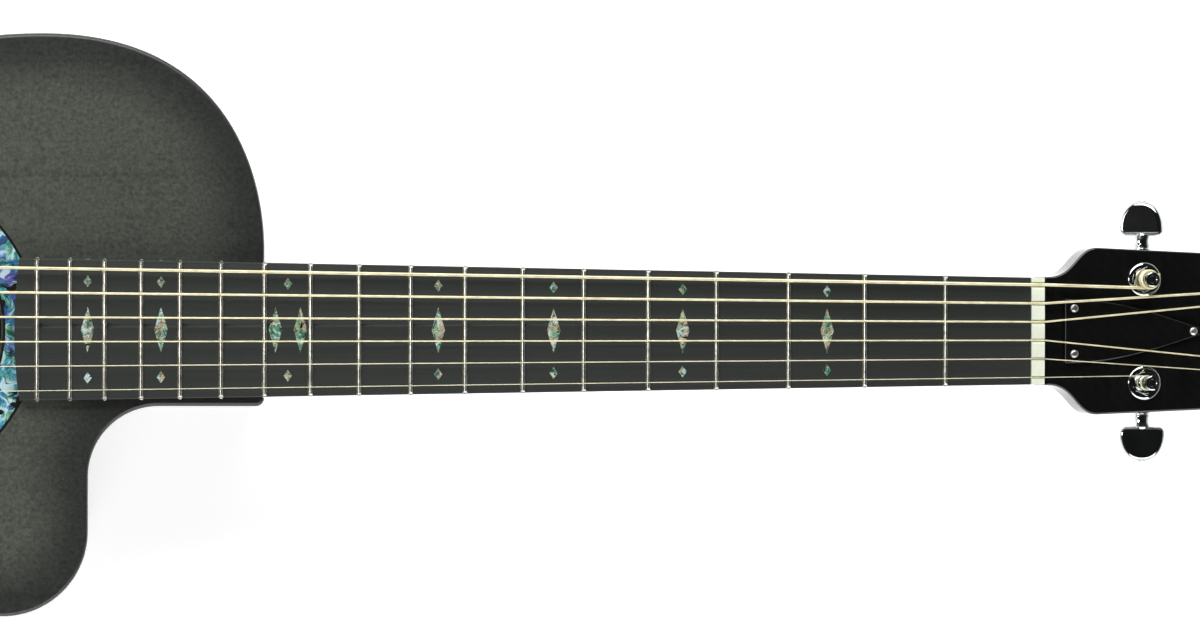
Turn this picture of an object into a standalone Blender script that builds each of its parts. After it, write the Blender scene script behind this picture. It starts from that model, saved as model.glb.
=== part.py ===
# Acoustic-electric guitar: a small steel-string body with a round cutaway, lying on its back.
# The guitar's own frame has X toward the headstock, Y toward the bass side and Z out of the top.
# Its zero is where the centre line meets the body at the neck joint, on the top's surface.

import math

import bmesh
import bpy
from mathutils import Matrix, Vector

# Clearances, in metres like every size here
GAP = 0.0003
RUNNING = 0.0003
SLOT_ROOM = 0.0001
CUT_REACH = 0.02
CUT_MARGIN = 0.002
OVERLAP = 0.001
INSET_SHARE = 0.97
ROUNDING_SHARE = 0.3

# Strings and scale
SCALE_LENGTH = 0.64516
BODY_FRET = 12
FRET_COUNT = 18
STRING_DIAMETERS = (0.00030, 0.00041, 0.00061, 0.00081, 0.00107, 0.00135)
NUT_SPREAD = 0.0390
SADDLE_SPREAD = 0.0575
NUT_CLEARANCE = 0.0005
ACTION = 0.0022
WRAP_TURNS = 2.25
WRAP_SPACE = 0.0005
WRAP_OVER_BUSHING = 0.0018
WRAP_STEPS = 10
STRING_TAIL = 0.0006
STRING_KNEE_RUN = 0.0004
STRING_KNEE_RISE = 0.0006

# Body plan, each place measured from the neck joint toward the tail
BODY_LENGTH = 0.495
UPPER_BOUT_AT = 0.0915
UPPER_BOUT_HALF = 0.1236
WAIST_AT = 0.190
WAIST_HALF = 0.1115
LOWER_BOUT_AT = 0.366
LOWER_BOUT_HALF = 0.180
SHOULDER_START = 0.005
SHOULDER_LEAD = 0.030
SHOULDER_TRAIL = 0.078
WAIST_EASE = 0.042
LOWER_EASE = 0.074
TAIL_EASE = 0.108
HORN_AT = 0.1087
HORN_HALF = 0.1197
HORN_RADIUS = 0.0353
CUTAWAY_RADIUS = 0.0295
CUTAWAY_LEDGE = 0.0040
JOINT_CORNER = 0.0034

# Body depth and walls
DEPTH_AT_NECK = 0.088
DEPTH_AT_TAIL = 0.104
TOP_THICKNESS = 0.0026
TOP_ROUNDING = 0.0018
SIDE_THICKNESS = 0.0025
BACK_THICKNESS = 0.0025
BACK_ARCH = 0.0030
BACK_FLAT_SHARE = 0.74
BACK_CENTRE_AT = 0.280
BACK_CURVE = 1.6
LINING_WIDTH = 0.0055
LINING_HEIGHT = 0.0050
SOUNDHOLE_AT = 0.1603
SOUNDHOLE_RADIUS = 0.0508
ROSETTE_INNER = 0.0517
ROSETTE_OUTER = 0.0662
ROSETTE_THICKNESS = 0.0010
NECK_BLOCK_LENGTH = 0.058
NECK_BLOCK_HALF = 0.0285
TAIL_BLOCK_LENGTH = 0.020
TAIL_BLOCK_HALF = 0.032
TAIL_BLOCK_CURVE_SHARE = 0.98

# Fingerboard, frets and nut
BOARD_WIDTH_NUT = 0.0452
BOARD_WIDTH_JOINT = 0.0560
BOARD_THICKNESS = 0.0062
BOARD_RADIUS = 0.4064
BOARD_OVERHANG = 0.1041
BOARD_END_BULGE = 0.0021
FRET_WIDTH = 0.0021
FRET_CROWN = 0.0009
FRET_HEIGHT = 0.0011
FRET_END_BEVEL = 0.0009
NUT_THICKNESS = 0.0055
NUT_RISE = 0.0022
NUT_SEAT = 0.0005

# Neck and headstock
NECK_DEPTH_NUT = 0.0142
NECK_DEPTH_HEEL = 0.0172
HEEL_DEPTH = 0.076
HEEL_LENGTH = 0.066
HEEL_SWEEP = 2.3
NECK_ROUNDNESS = 0.85
NECK_STATIONS = (0.0, 0.006, 0.013, 0.021, 0.031, 0.044, HEEL_LENGTH, 0.11, 0.20)
HEAD_OVERLAP = 0.016
HEAD_ANGLE = 8.0
HEAD_STEP = 0.0035
HEAD_THICKNESS = 0.0150
HEAD_LENGTH = 0.143
HEAD_FLARE_AT = 0.024
HEAD_FLARE_HALF = 0.0353
HEAD_TAPER = 0.0425
HEAD_CREST = 0.010
HEAD_START_FLAT = 0.002
HEAD_CURVE_SHARE = 0.8
HEAD_TIP_SHARE = 0.75
TRUSS_WIDTH = 0.0060
TRUSS_HEIGHT = 0.0084
TRUSS_START = 0.023
TRUSS_NUT_RADIUS = 0.0032
TRUSS_NUT_LENGTH = 0.013
TRUSS_NUT_DROP = 0.0004
TRUSS_END_AT = 0.008
TRUSS_POCKET_AT = 0.011
TRUSS_POCKET_LENGTH = 0.017
TRUSS_POCKET_WIDTH = 0.0085
TRUSS_POCKET_DEPTH = 0.0115
COVER_AT = 0.0088
COVER_LENGTH = 0.0659
COVER_WIDTH = 0.0272
COVER_THICKNESS = 0.0020
COVER_ROUNDING = 0.0007
COVER_LEAD_SHARE = 0.45
COVER_TRAIL_SHARE = 0.28
COVER_TIP_SHARE = 0.30

# Tuning machines
FIRST_TUNER_AT = 0.0443
TUNER_SPACING = 0.0375
TUNERS_PER_SIDE = 3
EDGE_TO_POST = 0.0126
POST_RADIUS = 0.0032
POST_WAIST = 0.0026
POST_HEIGHT = 0.0125
POST_CAP = 0.0028
POST_SLOPE = 0.0010
POST_HOLE_RADIUS = 0.0009
WASHER_RADIUS = 0.00725
WASHER_THICKNESS = 0.0011
HEX_RADIUS = 0.0056
HEX_HEIGHT = 0.0013
BUSHING_RADIUS = 0.0047
CASE_LENGTH = 0.0165
CASE_INNER = 0.0078
CASE_OUTER = 0.0095
CASE_DEPTH = 0.0130
CASE_CORNER = 0.0030
POST_FOOT = 0.0032
KEY_AXIS_DEPTH = 0.0080
KEY_AXIS_AHEAD = 0.0065
KEY_SHAFT_RADIUS = 0.0024
KEY_COLLAR_RADIUS = 0.0031
KEY_COLLAR_END = 0.0135
KEY_SHAFT_INNER = 0.0030
KEY_RING_SHARE = 0.85
KEY_RING_LENGTH = 0.0014
KEY_RING_END = 0.0022
BUTTON_AT = 0.0187
BUTTON_WIDTH = 0.0192
BUTTON_HEIGHT = 0.0149
BUTTON_THICKNESS = 0.0062
BUTTON_ROUNDING = 0.0012
BUTTON_CORNER = 0.0030
BUTTON_FULLNESS = 0.9
BUTTON_TURNS = (14.0, -20.0, 32.0, -12.0, 24.0, -36.0)

# Bridge, saddle and pins
COMPENSATION_TREBLE = 0.0025
COMPENSATION_BASS = 0.0055
BRIDGE_WIDTH = 0.155
BRIDGE_AHEAD = 0.0095
BRIDGE_BEHIND = 0.0235
BRIDGE_HEIGHT = 0.0085
BRIDGE_WING = 0.0035
BRIDGE_FLAT_HALF = 0.040
BRIDGE_CHAMFER = 0.0012
BRIDGE_CORNER = 0.009
BRIDGE_EASE = 0.006
BRIDGE_SWEEP = 1.8
SADDLE_LENGTH = 0.072
SADDLE_THICKNESS = 0.0032
SADDLE_SLOT_FLOOR = 0.0030
SADDLE_EDGE = 0.0006
SADDLE_FLAT_SHARE = 0.6
PICKUP_HEIGHT = 0.0012
PIN_BEHIND = 0.0145
PIN_RADIUS = 0.0026
PIN_TIP_RADIUS = 0.0021
PIN_HEAD_RADIUS = 0.0034
PIN_HEAD_HEIGHT = 0.0032
PIN_DOT_RADIUS = 0.0014
PIN_LENGTH = 0.022
PIN_SEAT = 0.001
PIN_HEAD_SHAPE = ((1.0, 0.45), (0.8, 0.85))
PLATE_LENGTH = 0.056
PLATE_WIDTH = 0.112
PLATE_THICKNESS = 0.0030

# Preamp in the bass side
PREAMP_START = 0.0803
PREAMP_END = 0.1765
PREAMP_TOP = 0.022
PREAMP_HEIGHT = 0.040
PREAMP_PROUD = 0.00075
PREAMP_WALL = 0.0020
PREAMP_DEPTH = 0.026
WINDOW_OUT = 0.004
WINDOW_IN = 0.006
CHAMBER_IN = 0.010
DOOR_MARGIN = 0.0030
DOOR_LENGTH = 0.0205
DOOR_GRIP_LENGTH = 0.003
DOOR_GRIP_DEPTH = 0.0012
DOOR_GRIP_HALF = 0.007
BATTERY_LENGTH = 0.0485
BATTERY_WIDTH = 0.0262
BATTERY_THICKNESS = 0.0172
BATTERY_TERMINAL = 0.0028
BATTERY_STUD_RADIUS = 0.0036
BATTERY_STUD_AT = 0.0064
PANEL_STEPS = 8
SLIDER_PLACES = (0.123, 0.134, 0.145)
SLIDER_TRAVEL = 0.018
SLIDER_SLOT_WIDTH = 0.0028
SLIDER_CAP = 0.0060
SLIDER_CAP_HEIGHT = 0.0042
SLIDER_CAP_EDGE = 0.001
SLIDER_CAP_TOP_SHARE = 0.7
SLIDER_CAP_SIDE_SHARE = 0.75
BOARD_SET_BACK = 0.0090
CIRCUIT_THICKNESS = 0.0016
CIRCUIT_MARGIN = 0.0030
KNOB_AT = 0.161
KNOB_RADIUS = 0.0080
KNOB_HEIGHT = 0.0060
KNOB_SHAFT_RADIUS = 0.0030
KNOB_EDGE = 0.0008
KNOB_SHOULDER_SHARE = 0.94
KNOB_FACE_SHARE = 0.84
SWITCH_AT = 0.1130
SWITCH_RADIUS = 0.0027
SWITCH_PROUD = 0.0016
SWITCH_ROOM = 0.0012

# Jack and leads
JACK_RADIUS = 0.0060
JACK_BORE = 0.0033
JACK_BORE_DEPTH = 0.030
JACK_FLANGE_RADIUS = 0.0098
JACK_FLANGE_LENGTH = 0.0075
JACK_WAIST_SHARE = 0.72
JACK_WAIST_END = 0.0061
JACK_RIM = ((JACK_WAIST_SHARE, 0.0001), (1.0, 0.0009), (1.0, 0.0019), (JACK_WAIST_SHARE, 0.0030))
JACK_FOOT_SHARE = 0.92
JACK_NUT_RADIUS = 0.0095
JACK_NUT_LENGTH = 0.0032
JACK_THREAD_END = 0.0080
LEAD_RADIUS = 0.0014
LEAD_HOLE_RADIUS = 0.0018
LEAD_STRAIGHT = 0.008
LEAD_SPREAD = 0.012
PICKUP_LEAD_AT = 0.160
JACK_LEAD_AT = 0.148

# Facets of the round pieces
HOLE_SIDES = 48
ROUND_SIDES = 16
TUNER_SIDES = 12
PIN_SIDES = 10


def fret_distance(number):
    """Distance of a fret from the nut."""
    return SCALE_LENGTH * (1 - 2 ** (-number / 12))


NUT_X = fret_distance(BODY_FRET)
BOARD_TOP = GAP + BOARD_THICKNESS
FRET_TOP = BOARD_TOP + FRET_HEIGHT
STRING_AT_NUT = FRET_TOP + NUT_CLEARANCE
STRING_AT_SADDLE = 2 * (FRET_TOP + ACTION) - STRING_AT_NUT
TAPER = (DEPTH_AT_TAIL - DEPTH_AT_NECK) / BODY_LENGTH
JOINT_HALF = BOARD_WIDTH_JOINT / 2
SADDLE_X = NUT_X - SCALE_LENGTH - (COMPENSATION_TREBLE + COMPENSATION_BASS) / 2
SADDLE_SLANT = math.atan((COMPENSATION_BASS - COMPENSATION_TREBLE) / SADDLE_SPREAD)
PIN_X = SADDLE_X - PIN_BEHIND
RIM_TOP = -TOP_THICKNESS - GAP
SLOT_END = PIN_HEAD_RADIUS + 2 * GAP + STRING_DIAMETERS[-1] + GAP


def clear_scene():
    for item in list(bpy.data.objects):
        bpy.data.objects.remove(item, do_unlink=True)


def material(name, colour, roughness, metallic=0.0):
    made = bpy.data.materials.new(name)
    made.use_nodes = True
    shader = made.node_tree.nodes["Principled BSDF"]
    shader.inputs["Base Color"].default_value = (*colour, 1.0)
    shader.inputs["Roughness"].default_value = roughness
    shader.inputs["Metallic"].default_value = metallic
    return made


def empty(name, parent=None, matrix=None):
    made = bpy.data.objects.new(name, None)
    bpy.context.scene.collection.objects.link(made)
    made.parent = parent
    if matrix is not None:
        made.matrix_local = matrix
    return made


def shaded(mesh):
    mesh.shade_smooth()
    mesh.set_sharp_from_angle(angle=math.radians(32))


def solid(name, shape, finish, parent, matrix=None):
    """A node of the guitar from a bmesh or from a finished mesh."""
    if isinstance(shape, bmesh.types.BMesh):
        mesh = bpy.data.meshes.new(name)
        shape.to_mesh(mesh)
        shape.free()
    else:
        mesh = shape
    shaded(mesh)
    if not mesh.materials:
        mesh.materials.append(finish)
    made = bpy.data.objects.new(name, mesh)
    bpy.context.scene.collection.objects.link(made)
    made.parent = parent
    if matrix is not None:
        made.matrix_local = matrix
    return made


def guide(shape, parent, matrix=None):
    """A hidden shape that only cuts or joins others."""
    mesh = bpy.data.meshes.new("guide")
    shape.to_mesh(mesh)
    shape.free()
    made = bpy.data.objects.new("guide", mesh)
    bpy.context.scene.collection.objects.link(made)
    made.parent = parent
    made.hide_render = True
    made.display_type = "WIRE"
    if matrix is not None:
        made.matrix_local = matrix
    return made


def combine(target, other, operation):
    modifier = target.modifiers.new(operation.title(), "BOOLEAN")
    modifier.operation = operation
    modifier.object = other


def cut(target, *cutters):
    for cutter in cutters:
        combine(target, cutter, "DIFFERENCE")


def finished_mesh(made):
    """The mesh that the modifiers give, for copies that share it."""
    bpy.context.view_layer.update()
    graph = bpy.context.evaluated_depsgraph_get()
    mesh = bpy.data.meshes.new_from_object(made.evaluated_get(graph))
    bpy.data.objects.remove(made, do_unlink=True)
    return mesh


def mirrored_mesh(mesh):
    """The same piece for the other side, mirrored across its own Y."""
    shape = bmesh.new()
    shape.from_mesh(mesh)
    bmesh.ops.transform(shape, matrix=Matrix.Scale(-1, 4, (0, 1, 0)), verts=shape.verts)
    bmesh.ops.reverse_faces(shape, faces=shape.faces)
    copy = mesh.copy()
    shape.to_mesh(copy)
    shape.free()
    return copy


def loft(rings):
    """Closed skin through rings with equally many points, capped at both ends."""
    shape = bmesh.new()
    rows = [[shape.verts.new(point) for point in ring] for ring in rings]
    count = len(rows[0])
    for low, high in zip(rows, rows[1:]):
        for i in range(count):
            j = (i + 1) % count
            shape.faces.new((low[i], low[j], high[j], high[i]))
    shape.faces.new(rows[0][::-1])
    shape.faces.new(rows[-1])
    bmesh.ops.recalc_face_normals(shape, faces=shape.faces)
    return shape


def at_height(points, height):
    """A plan outline lifted to a height, which may be a function of x."""
    if callable(height):
        return [(p.x, p.y, height(p.x)) for p in points]
    return [(p.x, p.y, height) for p in points]


def prism(points, low, high):
    return loft((at_height(points, low), at_height(points, high)))


def rectangle(x0, x1, y0, y1):
    return [Vector(p) for p in ((x0, y0), (x1, y0), (x1, y1), (x0, y1))]


def block(x0, x1, y0, y1, z0, z1):
    return prism(rectangle(x0, x1, y0, y1), z0, z1)


def circle(radius, sides, centre=(0, 0)):
    """Corners of a round outline, whose flats stay inside the radius."""
    turn = math.tau / sides
    middle = Vector(centre)
    return [middle + radius * Vector((math.cos(k * turn), math.sin(k * turn))) for k in range(sides)]


def turned(profile, sides):
    """A piece turned about Z from (radius, height) pairs that run upward on its outer side."""
    rings = [at_height(circle(radius, sides), height) for radius, height in profile]
    return loft(rings)


def disc(radius, low, high, sides=ROUND_SIDES):
    return turned(((radius, low), (radius, high)), sides)


def arc(centre, radius, start, end, steps):
    """Points of an arc in degrees, without its last point."""
    middle = Vector(centre)
    points = []
    for k in range(steps):
        angle = math.radians(start + (end - start) * k / steps)
        points.append(middle + radius * Vector((math.cos(angle), math.sin(angle))))
    return points


def curve_between(start, lead, trail, end, steps):
    """Points of a cubic curve without its last point. lead and trail are its handles' offsets."""
    a = Vector(start)
    b = a + Vector(lead)
    d = Vector(end)
    c = d + Vector(trail)
    points = []
    for k in range(steps):
        t = k / steps
        s = 1 - t
        points.append(a * s**3 + b * 3 * s * s * t + c * 3 * s * t * t + d * t**3)
    return points


def left_normal(direction):
    return Vector((-direction.y, direction.x)).normalized()


def distance_to_edge(points, place):
    nearest = math.inf
    for start, end in zip(points, points[1:] + points[:1]):
        along = end - start
        share = max(0.0, min(1.0, (place - start).dot(along) / along.length_squared))
        nearest = min(nearest, (start + along * share - place).length)
    return nearest


def inset(points, distance):
    """A counterclockwise outline moved inward by a distance, without the points that would cross."""
    moved = []
    for before, here, after in zip(points[-1:] + points[:-1], points, points[1:] + points[:1]):
        first = left_normal(here - before)
        second = left_normal(after - here)
        place = here + (first + second) * (distance / (1 + first.dot(second)))
        if distance_to_edge(points, place) > abs(distance) * INSET_SHARE:
            moved.append(place)
    return moved


def bass_flank():
    """Bass side of the plan from the neck joint to the tail."""
    joint = (0, JOINT_HALF + SHOULDER_START)
    bout = (-UPPER_BOUT_AT, UPPER_BOUT_HALF)
    waist = (-WAIST_AT, WAIST_HALF)
    points = curve_between(joint, (0, SHOULDER_LEAD), (SHOULDER_TRAIL, 0), bout, 11)
    points += curve_between(bout, (-WAIST_EASE, 0), (WAIST_EASE, 0), waist, 8)
    return points + lower_flank(1)


def lower_flank(side):
    """One side of the lower bout from the waist to just before the tail's middle."""
    waist = (-WAIST_AT, side * WAIST_HALF)
    bout = (-LOWER_BOUT_AT, side * LOWER_BOUT_HALF)
    tail = (-BODY_LENGTH, 0)
    points = curve_between(waist, (-LOWER_EASE, 0), (LOWER_EASE, 0), bout, 9)
    return points + curve_between(bout, (-LOWER_EASE, 0), (0, side * TAIL_EASE), tail, 11)


def treble_flank():
    """Treble side of the plan from the tail to the neck joint, round the horn and the cutaway."""
    tail = Vector((-BODY_LENGTH, 0))
    ledge = -JOINT_HALF - CUTAWAY_LEDGE
    horn_centre = (-HORN_AT, -HORN_HALF + HORN_RADIUS)
    scoop_x = -HORN_AT + HORN_RADIUS + CUTAWAY_RADIUS
    points = [tail] + lower_flank(-1)[:0:-1]
    waist = (-WAIST_AT, -WAIST_HALF)
    points += curve_between(waist, (WAIST_EASE, 0), (-WAIST_EASE, 0), (-HORN_AT, -HORN_HALF), 7)
    points += arc(horn_centre, HORN_RADIUS, -90, 0, 8)
    points.append(Vector((-HORN_AT + HORN_RADIUS, -HORN_HALF + HORN_RADIUS)))
    points += arc((scoop_x, ledge - CUTAWAY_RADIUS), CUTAWAY_RADIUS, 180, 90, 8)
    points.append(Vector((scoop_x, ledge)))
    points += arc((-JOINT_CORNER, ledge + JOINT_CORNER), JOINT_CORNER, -90, 0, 3)
    points.append(Vector((0, ledge + JOINT_CORNER)))
    return points


def back_plane(rise):
    """Heights on the back's flat, raised by a distance, as a function of x."""
    return lambda x: -DEPTH_AT_NECK + TAPER * x + rise


def board_half(x):
    """Half the fingerboard's width at a place along the neck."""
    slope = (BOARD_WIDTH_JOINT - BOARD_WIDTH_NUT) / 2 / NUT_X
    return JOINT_HALF - slope * x


def board_crown(y):
    """How far the fingerboard's radius drops at a distance from the centre line."""
    return y * y / (2 * BOARD_RADIUS)


def string_place(index, spread):
    """Sideways place of a string, from the first at the treble side to the sixth."""
    return spread * (index / (len(STRING_DIAMETERS) - 1) - 0.5)


def saddle_place(y):
    """Place of the slanted saddle's middle along the body at a distance from the centre line."""
    return SADDLE_X - math.tan(SADDLE_SLANT) * y


def head_half(x):
    """Half the headstock's width behind its flare, x being measured along its face from the nut."""
    return HEAD_FLARE_HALF - HEAD_TAPER * (x - HEAD_FLARE_AT)


def head_matrix():
    """The headstock's face: X along it away from the nut, Z out of it."""
    place = Matrix.Translation((NUT_X + NUT_THICKNESS + GAP, 0, HEAD_STEP))
    return place @ Matrix.Rotation(math.radians(HEAD_ANGLE), 4, "Y")


def post_place(index):
    """Place of the tuning post on the headstock's face that winds a string, and its side."""
    side = -1 if index < TUNERS_PER_SIDE else 1
    row = min(index, len(STRING_DIAMETERS) - 1 - index)
    x = FIRST_TUNER_AT + TUNER_SPACING * row
    return Vector((x, side * (head_half(x) - EDGE_TO_POST))), side


def resting_matrix():
    """Lays the guitar's tapered body on its back, with its box centred over the world's origin."""
    turn = Matrix.Rotation(math.atan(TAPER), 4, "Y")
    crest = head_matrix() @ Vector((HEAD_LENGTH, 0, 0))
    waist = JACK_FLANGE_RADIUS * JACK_WAIST_SHARE
    jack = Vector((-BODY_LENGTH - GAP - JACK_FLANGE_LENGTH, 0, jack_height() - waist))
    ends = [(turn @ place).x for place in (crest, jack)]
    back = turn @ Vector((0, 0, -DEPTH_AT_NECK))
    return Matrix.Translation((-sum(ends) / 2, 0, -back.z)) @ turn


def jack_height():
    """Height of the output jack, halfway up the tail."""
    return -DEPTH_AT_TAIL / 2


def edge_station(distance, offset):
    """Point near the bass side's edge, offset outward, and the edge's outward direction there."""
    flank = bass_flank()
    for start, end in zip(flank, flank[1:]):
        if end.x <= -distance <= start.x and start.x > end.x:
            share = (start.x + distance) / (start.x - end.x)
            outward = -left_normal(end - start)
            return start.lerp(end, share) + outward * offset, outward
    return flank[-1], Vector((0, 1))


def edge_strip(start, end, outer, inner, steps=PANEL_STEPS):
    """Plan of a curved strip along the bass side between two offsets from its edge."""
    places = [start + (end - start) * k / steps for k in range(steps + 1)]
    outside = [edge_station(place, outer)[0] for place in places]
    inside = [edge_station(place, inner)[0] for place in places]
    return outside + inside[::-1]


def side_matrix(distance, depth, offset=0.0):
    """Frame on the bass side: Z out of the side, Y away from the top, X toward the tail."""
    place, outward = edge_station(distance, offset)
    out = Vector((outward.x, outward.y, 0))
    down = Vector((0, 0, -1))
    along = down.cross(out)
    turn = Matrix((along, down, out)).transposed().to_4x4()
    return Matrix.Translation((place.x, place.y, -depth)) @ turn


def make_soundboard(outline, finish, root):
    middle = ROUNDING_SHARE
    edges = ((0.0, -TOP_THICKNESS), (0.0, -TOP_ROUNDING), (middle, -middle * TOP_ROUNDING), (1.0, 0.0))
    rings = []
    for share, height in edges:
        ring = inset(outline, share * TOP_ROUNDING) if share else outline
        rings.append(at_height(ring, height))
    made = solid("soundboard", loft(rings), finish, root)
    centre = (-SOUNDHOLE_AT, 0)
    hole = prism(circle(SOUNDHOLE_RADIUS, HOLE_SIDES, centre), -2 * TOP_THICKNESS, TOP_THICKNESS)
    cut(made, guide(hole, root))
    groove = prism(circle(ROSETTE_OUTER + GAP, HOLE_SIDES, centre), -ROSETTE_THICKNESS - GAP, TOP_THICKNESS)
    ring = guide(groove, root)
    cut(ring, guide(prism(circle(ROSETTE_INNER - GAP, HOLE_SIDES, centre), -CUT_REACH, CUT_REACH), root))
    cut(made, ring)
    cut(made, *pin_cutters(root), lead_cutter(root))
    return made


def make_rosette(finish, root):
    centre = (-SOUNDHOLE_AT, 0)
    ring = prism(circle(ROSETTE_OUTER, HOLE_SIDES, centre), -ROSETTE_THICKNESS, 0.0)
    made = solid("rosette", ring, finish, root)
    cut(made, guide(prism(circle(ROSETTE_INNER, HOLE_SIDES, centre), -CUT_REACH, CUT_REACH), root))


def make_sides(outline, finish, root):
    floor = BACK_ARCH + BACK_THICKNESS + GAP
    made = solid("sides", prism(outline, back_plane(floor), RIM_TOP), finish, root)
    window = inset(outline, SIDE_THICKNESS + LINING_WIDTH)
    cut(made, guide(prism(window, back_plane(0), 0.0), root))
    hollow = inset(outline, SIDE_THICKNESS)
    low = back_plane(floor + LINING_HEIGHT)
    cut(made, guide(prism(hollow, low, RIM_TOP - LINING_HEIGHT), root))
    cut(made, guide(neck_block_shape(GAP), root), guide(tail_block_shape(outline, GAP), root))
    strip = edge_strip(PREAMP_START - GAP, PREAMP_END + GAP, WINDOW_OUT, -WINDOW_IN)
    cut(made, guide(prism(strip, -PREAMP_TOP - PREAMP_HEIGHT - GAP, -PREAMP_TOP + GAP), root))
    cut(made, jack_cutter(root))


def neck_block_shape(extra):
    """The block behind the neck joint, or the room it needs in the linings."""
    front = -SIDE_THICKNESS - GAP + extra / 2
    plan = rectangle(-NECK_BLOCK_LENGTH - extra, front, -NECK_BLOCK_HALF - extra, NECK_BLOCK_HALF + extra)
    low = back_plane(BACK_ARCH + BACK_THICKNESS + 2 * GAP - 2 * extra)
    return prism(plan, low, RIM_TOP - GAP + 2 * extra)


def tail_block_shape(outline, extra):
    """The block at the tail, whose outer face follows the side."""
    wall = inset(outline, SIDE_THICKNESS + GAP - extra / 2)
    half = TAIL_BLOCK_HALF + extra
    curve = [p for p in wall if p.x < -LOWER_BOUT_AT and abs(p.y) < half * TAIL_BLOCK_CURVE_SHARE]
    front = -BODY_LENGTH + SIDE_THICKNESS + GAP + TAIL_BLOCK_LENGTH + extra
    edge = curve[0].x
    plan = [Vector((front, half)), Vector((edge + OVERLAP, half))] + curve
    plan += [Vector((edge + OVERLAP, -half)), Vector((front, -half))]
    low = back_plane(BACK_ARCH + BACK_THICKNESS + 2 * GAP - 2 * extra)
    return prism(plan, low, RIM_TOP - GAP + 2 * extra)


def make_blocks(outline, finish, root):
    solid("neck_block", neck_block_shape(0.0), finish, root)
    tail = solid("tail_block", tail_block_shape(outline, 0.0), finish, root)
    cut(tail, jack_cutter(root))


def make_back(outline, finish, root):
    """An arched plate, flat in its middle, whose rim the sides stand on."""
    centre = Vector((-BACK_CENTRE_AT, 0))
    shares = [BACK_FLAT_SHARE + (1 - BACK_FLAT_SHARE) * k / 2 for k in range(3)]

    def ring(share, thickness):
        points = [centre + (p - centre) * share for p in outline]
        bend = (share - BACK_FLAT_SHARE) / (1 - BACK_FLAT_SHARE)
        return at_height(points, back_plane(BACK_ARCH * bend**BACK_CURVE + thickness))

    outside = [ring(share, 0.0) for share in shares]
    inside = [ring(share, BACK_THICKNESS) for share in (1.0, BACK_FLAT_SHARE)]
    solid("back", loft(outside + inside), finish, root)


def make_fingerboard(finish, root):
    """One skin along the board, which rises over each fret's crown."""
    stations = [(NUT_X - GAP, 0.0)]
    for number in range(1, FRET_COUNT + 1):
        place = NUT_X - fret_distance(number)
        for shift, rise in ((FRET_WIDTH, 0.0), (FRET_CROWN, FRET_HEIGHT)):
            stations.append((place + shift / 2, rise))
        for shift, rise in ((FRET_CROWN, FRET_HEIGHT), (FRET_WIDTH, 0.0)):
            stations.append((place - shift / 2, rise))
    stations.append((-BOARD_OVERHANG, 0.0))
    rings = []
    for x, rise in stations:
        half = board_half(x)
        bulge = BOARD_END_BULGE if x == -BOARD_OVERHANG else 0.0
        inner = half - FRET_END_BEVEL
        ring = [(half, GAP)]
        ring.append((half, BOARD_TOP - board_crown(half)))
        for y in (inner, inner / 2, 0, -inner / 2, -inner):
            ring.append((y, BOARD_TOP - board_crown(y) + rise))
        ring.append((-half, BOARD_TOP - board_crown(half)))
        ring.append((-half, GAP))
        rings.append([(x + bulge * (y / half) ** 2, y, z) for y, z in ring])
    solid("fingerboard", loft(rings), finish, root)


def neck_section(x, half, depth):
    """Cross-section of the neck: flat on top, round below."""
    ring = [(x, half, 0.0)]
    steps = 8
    for k in range(1, steps):
        angle = math.pi * k / steps
        y = half * math.copysign(abs(math.cos(angle)) ** NECK_ROUNDNESS, math.cos(angle))
        ring.append((x, y, -depth * math.sin(angle) ** NECK_ROUNDNESS))
    ring.append((x, -half, 0.0))
    return ring


def head_outline():
    """The headstock's plan on its own face, symmetric about the neck."""
    start_half = BOARD_WIDTH_NUT / 2 + GAP
    flare = (HEAD_FLARE_AT, HEAD_FLARE_HALF)
    reach = HEAD_FLARE_AT / 2
    shoulder_x = HEAD_LENGTH - HEAD_CREST
    shoulder = (shoulder_x, head_half(shoulder_x))
    upper = [Vector((0, start_half))]
    into_flare = (-reach * HEAD_CURVE_SHARE, reach * HEAD_CURVE_SHARE * HEAD_TAPER)
    upper += curve_between((HEAD_START_FLAT, start_half), (reach, 0), into_flare, flare, 7)
    upper.append(Vector(flare))
    crest_lead = (HEAD_CREST * HEAD_CURVE_SHARE, -HEAD_CREST * HEAD_CURVE_SHARE * HEAD_TAPER)
    upper += curve_between(shoulder, crest_lead, (0, shoulder[1] * HEAD_TIP_SHARE), (HEAD_LENGTH, 0), 7)
    return mirrored_outline(upper, HEAD_LENGTH)


def mirrored_outline(upper, tip):
    """A counterclockwise outline from its upper half, that half's mirror image and its tip."""
    lower = [Vector((p.x, -p.y)) for p in upper]
    return lower + [Vector((tip, 0))] + upper[::-1]


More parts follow.
